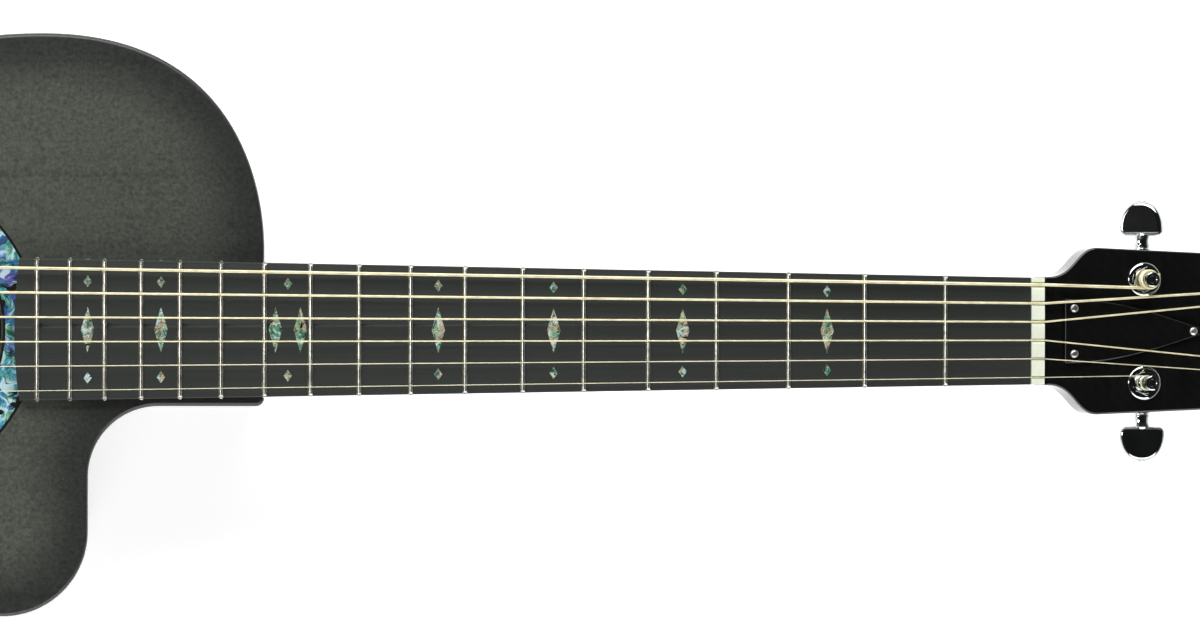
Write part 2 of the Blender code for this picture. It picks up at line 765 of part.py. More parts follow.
def make_neck(finish, root, head):
    rings = []
    for place in (*NECK_STATIONS, NUT_X, NUT_X + HEAD_OVERLAP):
        x = max(place, GAP)
        shaft = NECK_DEPTH_HEEL + (NECK_DEPTH_NUT - NECK_DEPTH_HEEL) * min(x / NUT_X, 1.0)
        swell = max(0.0, 1 - x / HEEL_LENGTH) ** HEEL_SWEEP
        depth = shaft + (HEEL_DEPTH - shaft) * swell
        rings.append(neck_section(x, board_half(min(x, NUT_X)) - GAP, depth))
    made = solid("neck", loft(rings), finish, root)
    combine(made, guide(prism(head_outline(), -HEAD_THICKNESS, 0.0), head), "UNION")
    width = BOARD_WIDTH_NUT / 2 + CUT_MARGIN
    seat = block(NUT_X - GAP, NUT_X + NUT_THICKNESS + GAP, -width, width, -NUT_SEAT, CUT_REACH)
    cut(made, guide(seat, root))
    half = TRUSS_WIDTH / 2 + GAP
    end = NUT_X + NUT_THICKNESS + TRUSS_POCKET_AT + CUT_MARGIN
    cut(made, guide(block(TRUSS_START - GAP, end, -half, half, -TRUSS_HEIGHT - 2 * GAP, GAP), root))
    pocket_half = TRUSS_POCKET_WIDTH / 2
    pocket_end = TRUSS_POCKET_AT + TRUSS_POCKET_LENGTH
    pocket = block(TRUSS_POCKET_AT, pocket_end, -pocket_half, pocket_half, -TRUSS_POCKET_DEPTH, CUT_REACH)
    cut(made, guide(pocket, head))
    for index in range(len(STRING_DIAMETERS)):
        place = post_place(index)[0]
        hole = prism(circle(BUSHING_RADIUS + GAP, TUNER_SIDES, place), -CUT_REACH, CUT_REACH)
        cut(made, guide(hole, head))


def make_truss_rod(finish, root):
    end = NUT_X + NUT_THICKNESS + TRUSS_END_AT
    half = TRUSS_WIDTH / 2
    low = -TRUSS_HEIGHT - GAP
    made = solid("truss_rod", block(TRUSS_START, end, -half, half, low, -GAP), finish, root)
    turn = Matrix.Rotation(math.radians(90), 4, "Y")
    middle = -TRUSS_HEIGHT / 2 - GAP
    place = Matrix.Translation((end - OVERLAP, 0, middle - TRUSS_NUT_DROP)) @ turn
    nut = guide(disc(TRUSS_NUT_RADIUS, 0.0, TRUSS_NUT_LENGTH, 6), root, place)
    combine(made, nut, "UNION")


def make_truss_cover(finish, head):
    """A shield with a flat foot and a pointed tip."""
    half = COVER_WIDTH / 2
    foot = COVER_AT
    tip = COVER_AT + COVER_LENGTH
    trail = (-COVER_LENGTH * COVER_TRAIL_SHARE, half * COVER_TIP_SHARE)
    side = curve_between((foot, half), (COVER_LENGTH * COVER_LEAD_SHARE, 0), trail, (tip, 0), 8)
    plan = mirrored_outline(side, tip)
    rounding = COVER_ROUNDING
    low = at_height(plan, GAP)
    wall = at_height(plan, GAP + COVER_THICKNESS - rounding)
    top = at_height(inset(plan, rounding), GAP + COVER_THICKNESS)
    if len(top) != len(wall):
        top = at_height(plan, GAP + COVER_THICKNESS)
    solid("truss_rod_cover", loft((low, wall, top)), finish, head)


def make_nut(finish, root):
    half = BOARD_WIDTH_NUT / 2
    steps = 8
    rise = BOARD_TOP + NUT_RISE
    foot = GAP - NUT_SEAT
    ring = [(half, foot)]
    for k in range(steps + 1):
        y = half * (1 - 2 * k / steps)
        ring.append((y, rise - board_crown(y)))
    ring.append((-half, foot))
    rings = [[(x, y, z) for y, z in ring] for x in (NUT_X, NUT_X + NUT_THICKNESS)]
    made = solid("nut", loft(rings), finish, root)
    for index, diameter in enumerate(STRING_DIAMETERS):
        y = string_place(index, NUT_SPREAD)
        half_slot = diameter / 2 + GAP + SLOT_ROOM
        low = STRING_AT_NUT - GAP - board_crown(y)
        start, end = NUT_X - CUT_REACH, NUT_X + CUT_REACH
        slot = block(start, end, y - half_slot, y + half_slot, low, CUT_REACH)
        cut(made, guide(slot, root))


def make_tuner_case_mesh(head):
    """Sealed case behind the headstock with its bushing, washer and hexagon in front."""
    back = -HEAD_THICKNESS - GAP
    corner = CASE_CORNER
    x0, x1 = -CASE_LENGTH / 2 + KEY_AXIS_AHEAD / 2, CASE_LENGTH / 2 + KEY_AXIS_AHEAD / 2
    plan = arc((x1 - corner, CASE_OUTER - corner), corner, 0, 90, 3)
    plan += arc((x0 + corner, CASE_OUTER - corner), corner, 90, 180, 3)
    plan += arc((x0 + corner, -CASE_INNER + corner), corner, 180, 270, 3)
    plan += arc((x1 - corner, -CASE_INNER + corner), corner, 270, 360, 3)
    rounding = corner / 2
    rings = [at_height(inset(plan, rounding), back - CASE_DEPTH)]
    rings += [at_height(plan, back - CASE_DEPTH + rounding), at_height(plan, back)]
    case = solid("case", loft(rings), None, head)
    front = GAP + WASHER_THICKNESS
    profile = [(BUSHING_RADIUS, back - OVERLAP), (BUSHING_RADIUS, GAP)]
    profile += [(WASHER_RADIUS, GAP), (WASHER_RADIUS, front)]
    combine(case, guide(turned(profile, TUNER_SIDES), head), "UNION")
    hexagon = disc(HEX_RADIUS, front - OVERLAP, front + HEX_HEIGHT, 6)
    combine(case, guide(hexagon, head), "UNION")
    axis = key_matrix(1)
    collar = disc(KEY_COLLAR_RADIUS, CASE_OUTER - OVERLAP, KEY_COLLAR_END, PIN_SIDES)
    combine(case, guide(collar, head, axis), "UNION")
    foot = -HEAD_THICKNESS - GAP - POST_FOOT - GAP
    cut(case, guide(disc(POST_RADIUS + RUNNING, foot, CUT_REACH, TUNER_SIDES), head))
    key_hole = disc(KEY_SHAFT_RADIUS + RUNNING, KEY_SHAFT_INNER - GAP, CUT_REACH, PIN_SIDES)
    cut(case, guide(key_hole, head, axis))
    return finished_mesh(case)


def key_matrix(side):
    """Axis of a tuning button from its post: Z outward to the headstock's edge."""
    depth = -HEAD_THICKNESS - GAP - KEY_AXIS_DEPTH
    turn = Matrix.Rotation(math.radians(-90 * side), 4, "X")
    return Matrix.Translation((KEY_AXIS_AHEAD, 0, depth)) @ turn


def make_button_mesh(head):
    """Half-moon button on its shaft, which runs along Z."""
    half = BUTTON_WIDTH / 2
    corner = BUTTON_CORNER
    plan = [Vector((-half + corner, 0)), Vector((half - corner, 0))]
    cut_corner = corner * ROUNDING_SHARE
    plan.append(Vector((half - cut_corner, cut_corner)))
    for k in range(9):
        angle = math.pi * k / 8
        x = half * math.copysign(abs(math.cos(angle)) ** BUTTON_FULLNESS, math.cos(angle))
        plan.append(Vector((x, corner + (BUTTON_HEIGHT - corner) * math.sin(angle) ** BUTTON_FULLNESS)))
    plan.append(Vector((-half + cut_corner, cut_corner)))
    thick = BUTTON_THICKNESS / 2
    centre = Vector((0, BUTTON_HEIGHT / 2))
    face_share = 1 - BUTTON_ROUNDING / half
    face = [centre + (p - centre) * face_share for p in plan]
    wall = thick - BUTTON_ROUNDING
    levels = ((face, -thick), (plan, -wall), (plan, wall), (face, thick))
    rings = [[(p.x, height, BUTTON_AT + p.y) for p in points] for points, height in levels]
    made = solid("button", loft(rings), None, head)
    ring_low = KEY_COLLAR_END + GAP
    ring_radius = KEY_COLLAR_RADIUS * KEY_RING_SHARE
    profile = (
        (KEY_SHAFT_RADIUS, KEY_SHAFT_INNER),
        (KEY_SHAFT_RADIUS, ring_low),
        (ring_radius, ring_low),
        (ring_radius, ring_low + KEY_RING_LENGTH),
        (KEY_SHAFT_RADIUS, ring_low + KEY_RING_END),
        (KEY_SHAFT_RADIUS, BUTTON_AT + OVERLAP),
    )
    combine(made, guide(turned(profile, PIN_SIDES), head), "UNION")
    return finished_mesh(made)


def make_post_mesh(head):
    """Post with a drawn-in waist for the windings and the string's hole across it."""
    waist_low = front_of_bushing() + POST_SLOPE
    waist_high = POST_HEIGHT - POST_CAP
    slope = POST_SLOPE / 2
    profile = (
        (POST_RADIUS, -HEAD_THICKNESS - GAP - POST_FOOT),
        (POST_RADIUS, waist_low - slope),
        (POST_WAIST, waist_low + slope),
        (POST_WAIST, waist_high - slope),
        (POST_RADIUS, waist_high + slope),
        (POST_RADIUS, POST_HEIGHT - slope),
        (POST_WAIST, POST_HEIGHT),
    )
    post = solid("post", turned(profile, TUNER_SIDES), None, head)
    turn = Matrix.Rotation(math.radians(90), 4, "X")
    place = Matrix.Translation((0, 0, waist_high - 2 * POST_HOLE_RADIUS)) @ turn
    cut(post, guide(disc(POST_HOLE_RADIUS, -CUT_REACH, CUT_REACH, 6), head, place))
    return finished_mesh(post)


def front_of_bushing():
    """Height of the hexagon's front over the headstock's face."""
    return GAP + WASHER_THICKNESS + HEX_HEIGHT


def make_tuners(chrome, head):
    case = make_tuner_case_mesh(head)
    button = make_button_mesh(head)
    post = make_post_mesh(head)
    cases = {1: case, -1: mirrored_mesh(case)}
    for index in range(len(STRING_DIAMETERS)):
        place, side = post_place(index)
        number = index + 1
        seat = empty(f"tuner_{number}_seat", head, Matrix.Translation((place.x, place.y, 0)))
        solid(f"tuner_case_{number}", cases[side], chrome, seat)
        solid(f"tuner_post_{number}", post, chrome, seat)
        axis = empty(f"tuner_{number}_axis", seat, key_matrix(side))
        turn = Matrix.Rotation(math.radians(BUTTON_TURNS[index]), 4, "Z")
        solid(f"tuner_button_{number}", button, chrome, axis, turn)


def make_bridge(finish, root):
    """A pin bridge: high where the strings cross, scooped down to thin wings."""
    half = BRIDGE_WIDTH / 2
    ahead, behind = SADDLE_X + BRIDGE_AHEAD, SADDLE_X - BRIDGE_BEHIND
    corner = BRIDGE_CORNER
    stations = []
    for angle in (90, 60, 30):
        turn = math.radians(angle)
        stations.append((half - corner * (1 - math.sin(turn)), corner * (1 - math.cos(turn))))
    stations += [(half - corner, 0.0), ((half - corner + BRIDGE_FLAT_HALF) / 2, 0.0)]
    stations += [(BRIDGE_FLAT_HALF + BRIDGE_EASE, 0.0), (BRIDGE_FLAT_HALF, 0.0)]
    both = stations + [(-y, pull) for y, pull in reversed(stations)]
    rings = []
    for y, pull in both:
        rise = max(0.0, 1 - max(0.0, abs(y) - BRIDGE_FLAT_HALF) / (half - corner - BRIDGE_FLAT_HALF))
        height = BRIDGE_WING + (BRIDGE_HEIGHT - BRIDGE_WING) * rise**BRIDGE_SWEEP
        x0, x1 = behind + pull, ahead - pull
        edge = BRIDGE_CHAMFER
        ring = [(x0, GAP), (x0, height - edge), (x0 + edge, height)]
        ring += [(x1 - edge, height), (x1, height - edge), (x1, GAP)]
        rings.append([(x, y, z) for x, z in ring])
    made = solid("bridge", loft(rings), finish, root)
    slot = block(
        -SADDLE_THICKNESS / 2 - GAP,
        SADDLE_THICKNESS / 2 + GAP,
        -SADDLE_LENGTH / 2 - GAP,
        SADDLE_LENGTH / 2 + GAP,
        SADDLE_SLOT_FLOOR,
        CUT_REACH,
    )
    cut(made, guide(slot, root, saddle_matrix()))
    cut(made, *pin_cutters(root), lead_cutter(root))


def saddle_matrix():
    """The slanted saddle's frame on the top, Y along the saddle."""
    return Matrix.Translation((SADDLE_X, 0, 0)) @ Matrix.Rotation(SADDLE_SLANT, 4, "Z")


def make_saddle(bone, strip, root):
    half = SADDLE_LENGTH / 2
    floor = SADDLE_SLOT_FLOOR + PICKUP_HEIGHT + 2 * GAP
    top = STRING_AT_SADDLE - GAP
    steps = 10
    rings = []
    flat = SADDLE_FLAT_SHARE
    for x, drop in ((-1, SADDLE_EDGE), (-flat, 0.0), (flat, 0.0), (1, SADDLE_EDGE)):
        ring = [(half, floor)]
        for k in range(steps + 1):
            y = half * (1 - 2 * k / steps)
            ring.append((y, top - board_crown(y) - drop))
        ring.append((-half, floor))
        rings.append([(x * SADDLE_THICKNESS / 2, y, z) for y, z in ring])
    solid("saddle", loft(rings), bone, root, saddle_matrix())
    wide = SADDLE_THICKNESS / 2 - GAP
    low = SADDLE_SLOT_FLOOR + GAP
    pickup = block(-wide, wide, -half, half, low, low + PICKUP_HEIGHT - GAP)
    solid("saddle_pickup", pickup, strip, root, saddle_matrix())


def pin_cutters(root):
    """Room for each pin and for the string that goes down in front of it."""
    cutters = []
    for index, diameter in enumerate(STRING_DIAMETERS):
        y = string_place(index, SADDLE_SPREAD)
        hole = prism(circle(PIN_RADIUS + GAP, PIN_SIDES, (PIN_X, y)), -CUT_REACH, CUT_REACH)
        cutters.append(guide(hole, root))
        half = diameter / 2 + GAP + SLOT_ROOM
        reach = CUT_REACH - GAP
        cutters.append(guide(block(PIN_X, PIN_X + SLOT_END, y - half, y + half, -reach, reach), root))
    return cutters


def make_pins(finish, root):
    under = BRIDGE_HEIGHT + GAP
    profile = [(PIN_TIP_RADIUS, under - PIN_LENGTH), (PIN_RADIUS, under - PIN_SEAT)]
    profile += [(PIN_RADIUS, under), (PIN_HEAD_RADIUS, under)]
    profile += [(PIN_HEAD_RADIUS * wide, under + PIN_HEAD_HEIGHT * high) for wide, high in PIN_HEAD_SHAPE]
    profile.append((PIN_DOT_RADIUS, under + PIN_HEAD_HEIGHT))
    mesh = bpy.data.meshes.new("bridge_pin")
    shape = turned(profile, PIN_SIDES)
    shape.to_mesh(mesh)
    shape.free()
    for index in range(len(STRING_DIAMETERS)):
        place = Matrix.Translation((PIN_X, string_place(index, SADDLE_SPREAD), 0))
        solid(f"bridge_pin_{index + 1}", mesh, finish, root, place)


def make_bridge_plate(finish, root):
    middle = (SADDLE_X + PIN_X) / 2
    top = -TOP_THICKNESS - GAP
    half = PLATE_LENGTH / 2
    shape = block(middle - half, middle + half, -PLATE_WIDTH / 2, PLATE_WIDTH / 2, top - PLATE_THICKNESS, top)
    made = solid("bridge_plate", shape, finish, root)
    cut(made, *pin_cutters(root), lead_cutter(root))


def lead_place():
    """Where the pickup's lead leaves the saddle's slot, at its bass end."""
    y = SADDLE_LENGTH / 2 - 2 * LEAD_HOLE_RADIUS
    return Vector((saddle_place(y), y))


def lead_cutter(root):
    return guide(prism(circle(LEAD_HOLE_RADIUS, 8, lead_place()), -CUT_REACH, SADDLE_SLOT_FLOOR + GAP), root)


def tube(name, points, radius, finish, root, resolution=1):
    curve = bpy.data.curves.new(name, "CURVE")
    curve.dimensions = "3D"
    curve.bevel_depth = radius
    curve.bevel_resolution = resolution
    curve.use_fill_caps = True
    curve.materials.append(finish)
    spline = curve.splines.new("POLY")
    spline.points.add(len(points) - 1)
    for point, place in zip(spline.points, points):
        point.co = (*place, 1.0)
    made = bpy.data.objects.new(name, curve)
    bpy.context.scene.collection.objects.link(made)
    made.parent = root
    return made


def winding(start, centre, side, radius, diameter, height):
    """Points of the string round its post, on the headstock's face: the run in, the loops, the end."""
    flat = Vector((start.x, start.y * side))
    middle = Vector((centre.x, centre.y * side))
    toward = middle - flat
    heading = math.atan2(toward.y, toward.x) - math.asin(radius / toward.length)
    first = heading - math.pi / 2
    pitch = diameter + WRAP_SPACE
    count = round(WRAP_TURNS * WRAP_STEPS)
    points = []
    for k in range(count + 1):
        turn = k / WRAP_STEPS
        angle = first + math.tau * turn
        x = middle.x + radius * math.cos(angle)
        y = middle.y + radius * math.sin(angle)
        points.append(Vector((x, y * side, height + pitch * turn)))
    angle = first + math.tau * count / WRAP_STEPS
    ahead = Vector((-math.sin(angle), math.cos(angle) * side, 0))
    points.append(points[-1] + ahead * max(diameter, STRING_TAIL))
    return points


def string_route(index, head_frame):
    """A string's run: down by its pin, over the saddle and the nut, then round its post."""
    diameter = STRING_DIAMETERS[index]
    radius = diameter / 2
    y_saddle = string_place(index, SADDLE_SPREAD)
    y_nut = string_place(index, NUT_SPREAD)
    drop_x = PIN_X + PIN_HEAD_RADIUS + GAP + radius
    rear = saddle_place(y_saddle) - SADDLE_THICKNESS / 2 - GAP
    z_saddle = STRING_AT_SADDLE - board_crown(y_saddle) + radius
    z_nut = STRING_AT_NUT - board_crown(y_nut) + radius
    plate_bottom = -TOP_THICKNESS - GAP - PLATE_THICKNESS
    knee = BRIDGE_HEIGHT + GAP + radius
    route = [
        Vector((drop_x, y_saddle, plate_bottom)),
        Vector((drop_x, y_saddle, knee)),
        Vector((drop_x + STRING_KNEE_RUN, y_saddle, knee + STRING_KNEE_RISE)),
        Vector((rear, y_saddle, z_saddle)),
        Vector((NUT_X + NUT_THICKNESS + GAP, y_nut, z_nut)),
    ]
    centre, side = post_place(index)
    start = head_frame.inverted() @ route[-1]
    wrap_radius = (POST_WAIST + GAP + radius) / math.cos(math.pi / WRAP_STEPS)
    low = front_of_bushing() + WRAP_OVER_BUSHING
    loops = winding(start, centre, side, wrap_radius, diameter, low)
    return route + [head_frame @ place for place in loops]


def make_strings(wound, plain, root):
    frame = head_matrix()
    for index, diameter in enumerate(STRING_DIAMETERS):
        finish = plain if index < 2 else wound
        tube(f"string_{index + 1}", string_route(index, frame), diameter / 2, finish, root)


def smooth_route(places, spacing):
    """Even points on a smooth curve through the route's own places."""
    nodes = [Vector(place) for place in places]
    nodes = [nodes[0] * 2 - nodes[1]] + nodes + [nodes[-1] * 2 - nodes[-2]]
    points = []
    for a, b, c, d in zip(nodes, nodes[1:], nodes[2:], nodes[3:]):
        steps = max(2, round((c - b).length / spacing))
        for k in range(steps):
            t = k / steps
            bend = (2 * a - 5 * b + 4 * c - d) * t * t + (3 * b - a - 3 * c + d) * t**3
            points.append(b + ((c - a) * t + bend) / 2)
    points.append(nodes[-2])
    return points


def make_leads(finish, root):
    hole = lead_place()
    low, high = preamp_heights()
    middle = (low + high) / 2
    back = preamp_back()
    under = -TOP_THICKNESS - PLATE_THICKNESS
    straight = LEAD_STRAIGHT
    entry = middle + LEAD_SPREAD / 2
    pickup = (
        (hole.x, hole.y, SADDLE_SLOT_FLOOR),
        (hole.x, hole.y, under),
        (hole.x, hole.y, under - straight),
        (hole.x + 2 * straight, hole.y + straight, under - 3 * straight),
        (-(WAIST_AT + LOWER_BOUT_AT) / 2 + 2 * straight, back - straight, (under + entry) / 2 - straight),
        (-WAIST_AT, back - 2 * straight, entry),
        (-PICKUP_LEAD_AT, back - 2 * straight, entry),
        (-PICKUP_LEAD_AT, back - straight, entry),
        (-PICKUP_LEAD_AT, back - 2 * GAP, entry),
    )
    tube("pickup_lead", smooth_route(pickup, 6 * LEAD_RADIUS), LEAD_RADIUS, finish, root, 2)
    start = jack_inner_end()
    level = jack_height()
    entry = middle - LEAD_SPREAD / 2
    low = back_plane(BACK_ARCH + BACK_THICKNESS + straight)
    bout = LOWER_BOUT_AT
    jack = (
        (start + 2 * GAP, 0, level),
        (start + straight, 0, level),
        (start + 2 * straight, 0, level),
        (start + 5 * straight, LOWER_BOUT_HALF / 6, low(-BODY_LENGTH)),
        (-bout, LOWER_BOUT_HALF / 2, low(-bout)),
        (-(WAIST_AT + bout) / 2, back, low(-bout)),
        (-WAIST_AT, back - 3 * straight, entry),
        (-JACK_LEAD_AT, back - 2 * straight, entry),
        (-JACK_LEAD_AT, back - straight, entry),
        (-JACK_LEAD_AT, back - 2 * GAP, entry),
    )
    tube("jack_lead", smooth_route(jack, 6 * LEAD_RADIUS), LEAD_RADIUS, finish, root, 2)


def preamp_heights():
    """Bottom and top of the preamp's panel."""
    return -PREAMP_TOP - PREAMP_HEIGHT, -PREAMP_TOP


def preamp_back():
    """How far from the centre line the electronics' chamber reaches inward."""
    return edge_station(PREAMP_END, 0.0)[0].y - SIDE_THICKNESS - GAP - PREAMP_DEPTH


def door_span():
    """Start and end of the battery door along the body."""
    start = PREAMP_START + DOOR_MARGIN
    return start, start + DOOR_LENGTH


def make_panel(finish, root):
    low, high = preamp_heights()
    strip = edge_strip(PREAMP_START, PREAMP_END, PREAMP_PROUD, -SIDE_THICKNESS)
    made = solid("preamp_panel", prism(strip, low, high), finish, root)
    start, end = door_span()
    opening = edge_strip(start - GAP, end + GAP, WINDOW_OUT, -WINDOW_IN, 3)
    door_low, door_high = low + DOOR_MARGIN, high - DOOR_MARGIN
    cut(made, guide(prism(opening, door_low - GAP, door_high + GAP), root))
    middle = -(low + high) / 2
    half = SLIDER_SLOT_WIDTH / 2
    reach = SLIDER_TRAVEL / 2 + half + GAP
    for place in SLIDER_PLACES:
        slot = block(-half, half, -reach, reach, -CUT_REACH, CUT_REACH)
        cut(made, guide(slot, root, side_matrix(place, middle)))
    knob_hole = disc(KNOB_SHAFT_RADIUS + RUNNING, -CUT_REACH, CUT_REACH)
    cut(made, guide(knob_hole, root, side_matrix(KNOB_AT, middle)))
    switch_hole = disc(SWITCH_RADIUS + RUNNING, -CUT_REACH, CUT_REACH)
    cut(made, guide(switch_hole, root, side_matrix(SWITCH_AT, middle)))


def make_door(finish, root):
    """Battery door, hinged at the end that lies toward the tail."""
    low, high = preamp_heights()
    start, end = door_span()
    hinge, _ = edge_station(end, PREAMP_PROUD)
    seat = empty("battery_door_hinge", root, Matrix.Translation((hinge.x, hinge.y, 0)))
    strip = [p - hinge for p in edge_strip(start, end, PREAMP_PROUD, -SIDE_THICKNESS + GAP, 3)]
    made = solid("battery_door", prism(strip, low + DOOR_MARGIN, high - DOOR_MARGIN), finish, seat)
    grip, outward = edge_station(start, PREAMP_PROUD)
    turn = math.atan2(outward.y, outward.x) - math.pi / 2
    middle = (low + high) / 2
    place = Matrix.Translation((grip.x - hinge.x, grip.y - hinge.y, middle)) @ Matrix.Rotation(turn, 4, "Z")
    long, half = DOOR_GRIP_LENGTH, DOOR_GRIP_HALF
    cut(made, guide(block(-long, long, -DOOR_GRIP_DEPTH, WINDOW_OUT, -half, half), seat, place))


def case_plan(wall):
    """Plan of the preamp's case, or of its two chambers when a wall is given."""
    start, end = PREAMP_START, PREAMP_END
    bay_end = door_span()[1] + DOOR_MARGIN
    top = preamp_back()
    battery_room = 3 * GAP + BATTERY_LENGTH + BATTERY_TERMINAL
    bay_back = edge_station(start, 0)[0].y - SIDE_THICKNESS - battery_room - PREAMP_WALL
    if wall:
        bay = edge_strip(start, bay_end - wall, OVERLAP, -CHAMBER_IN, 3)[:4]
        bay += [Vector((-bay_end + wall, bay_back + wall)), Vector((-start, bay_back + wall))]
        room = edge_strip(bay_end, end, OVERLAP, -CHAMBER_IN)[: PANEL_STEPS + 1]
        room += [Vector((-end, top + wall)), Vector((-bay_end, top + wall))]
        return bay, room
    outside = edge_strip(start - PREAMP_WALL, end + PREAMP_WALL, -SIDE_THICKNESS - GAP, -CHAMBER_IN)
    front = outside[: PANEL_STEPS + 1]
    back = [Vector((-end - PREAMP_WALL, top)), Vector((-bay_end, top))]
    back += [Vector((-bay_end, bay_back)), Vector((-start + PREAMP_WALL, bay_back))]
    return front + back


def make_preamp_case(finish, board, root):
    low, high = preamp_heights()
    made = solid("preamp_case", prism(case_plan(0.0), low - PREAMP_WALL, high + PREAMP_WALL), finish, root)
    for plan in case_plan(PREAMP_WALL):
        cut(made, guide(prism(plan, low, high), root))
    start = door_span()[1] + DOOR_MARGIN + CIRCUIT_MARGIN
    offset = -SIDE_THICKNESS - BOARD_SET_BACK
    plate = edge_strip(start, PREAMP_END - CIRCUIT_MARGIN, offset, offset - CIRCUIT_THICKNESS, 4)
    solid("preamp_board", prism(plate, low + GAP, high - GAP), board, root)


def make_controls(cap, root):
    low, high = preamp_heights()
    middle = -(low + high) / 2
    foot = -SIDE_THICKNESS - BOARD_SET_BACK + 3 * GAP
    names = ("bass", "middle", "treble")
    face = PREAMP_PROUD + 2 * GAP
    for name, place in zip(names, SLIDER_PLACES):
        half = SLIDER_CAP / 2
        stem_half = SLIDER_SLOT_WIDTH / 2 - GAP
        top = face + SLIDER_CAP_HEIGHT
        levels = ((half, face), (half, top - SLIDER_CAP_EDGE), (half * SLIDER_CAP_TOP_SHARE, top))
        share = SLIDER_CAP_SIDE_SHARE
        rings = [at_height(rectangle(-r, r, -r * share, r * share), z) for r, z in levels]
        made = solid(f"slider_{name}", loft(rings), cap, root, side_matrix(place, middle))
        stem = block(-stem_half, stem_half, -stem_half, stem_half, foot, face + OVERLAP)
        combine(made, guide(stem, root, side_matrix(place, middle)), "UNION")
    profile = (
        (KNOB_SHAFT_RADIUS, foot),
        (KNOB_SHAFT_RADIUS, face),
        (KNOB_RADIUS, face),
        (KNOB_RADIUS * KNOB_SHOULDER_SHARE, face + KNOB_HEIGHT - KNOB_EDGE),
        (KNOB_RADIUS * KNOB_FACE_SHARE, face + KNOB_HEIGHT),
    )
    solid("volume_knob", turned(profile, 20), cap, root, side_matrix(KNOB_AT, middle))
    key = disc(SWITCH_RADIUS, foot + SWITCH_ROOM, PREAMP_PROUD + SWITCH_PROUD)
    solid("tuner_switch", key, cap, root, side_matrix(SWITCH_AT, middle))


def make_battery(finish, root):
    low, high = preamp_heights()
    start, end = door_span()
    middle_x = -(PREAMP_START + end + DOOR_MARGIN - PREAMP_WALL) / 2
    middle_z = (low + high) / 2
    outer = min(edge_station(place, -SIDE_THICKNESS)[0].y for place in (start, end)) - 2 * GAP
    half_x, half_z = BATTERY_THICKNESS / 2, BATTERY_WIDTH / 2
    turn = Matrix.Rotation(math.radians(90), 4, "X")
    place = Matrix.Translation((middle_x, outer, middle_z)) @ turn
    plan = rectangle(-half_x, half_x, -half_z, half_z)
    made = solid("battery", prism(plan, 0.0, BATTERY_LENGTH), finish, root, place)
    for step in (-1, 1):
        plan = circle(BATTERY_STUD_RADIUS, PIN_SIDES, (0, step * BATTERY_STUD_AT))
        stud = prism(plan, BATTERY_LENGTH - OVERLAP, BATTERY_LENGTH + BATTERY_TERMINAL)
        combine(made, guide(stud, root, place), "UNION")


def jack_matrix():
    """Axis of the output jack, Z pointing into the body from the tail's outer face."""
    turn = Matrix.Rotation(math.radians(90), 4, "Y")
    return Matrix.Translation((-BODY_LENGTH, 0, jack_height())) @ turn


def jack_cutter(root):
    reach = jack_inner_end() + BODY_LENGTH
    return guide(disc(JACK_RADIUS + GAP, -CUT_REACH, reach + CUT_REACH), root, jack_matrix())


def jack_inner_end():
    """Place along the body of the jack's inner end."""
    return -BODY_LENGTH + SIDE_THICKNESS + TAIL_BLOCK_LENGTH + GAP + JACK_THREAD_END


def make_jack(chrome, root):
    """Output jack in the tail, whose flange also holds a strap."""
    reach = jack_inner_end() + BODY_LENGTH
    end = -GAP - JACK_FLANGE_LENGTH
    waist = JACK_WAIST_SHARE
    shape = ((waist, 0.0), *JACK_RIM, (waist, JACK_WAIST_END), (JACK_FOOT_SHARE, JACK_FLANGE_LENGTH))
    profile = [(JACK_FLANGE_RADIUS * share, end + along) for share, along in shape]
    profile += [(JACK_RADIUS, -GAP), (JACK_RADIUS, reach)]
    made = solid("output_jack", turned(profile, ROUND_SIDES), chrome, root, jack_matrix())
    bore = disc(JACK_BORE, -CUT_REACH, JACK_BORE_DEPTH - JACK_FLANGE_LENGTH, PIN_SIDES)
    cut(made, guide(bore, root, jack_matrix()))
    seat = SIDE_THICKNESS + GAP + TAIL_BLOCK_LENGTH + GAP
    ring = disc(JACK_NUT_RADIUS, seat, seat + JACK_NUT_LENGTH, 6)
    nut = solid("jack_nut", ring, chrome, root, jack_matrix())
    cut(nut, jack_cutter(root))


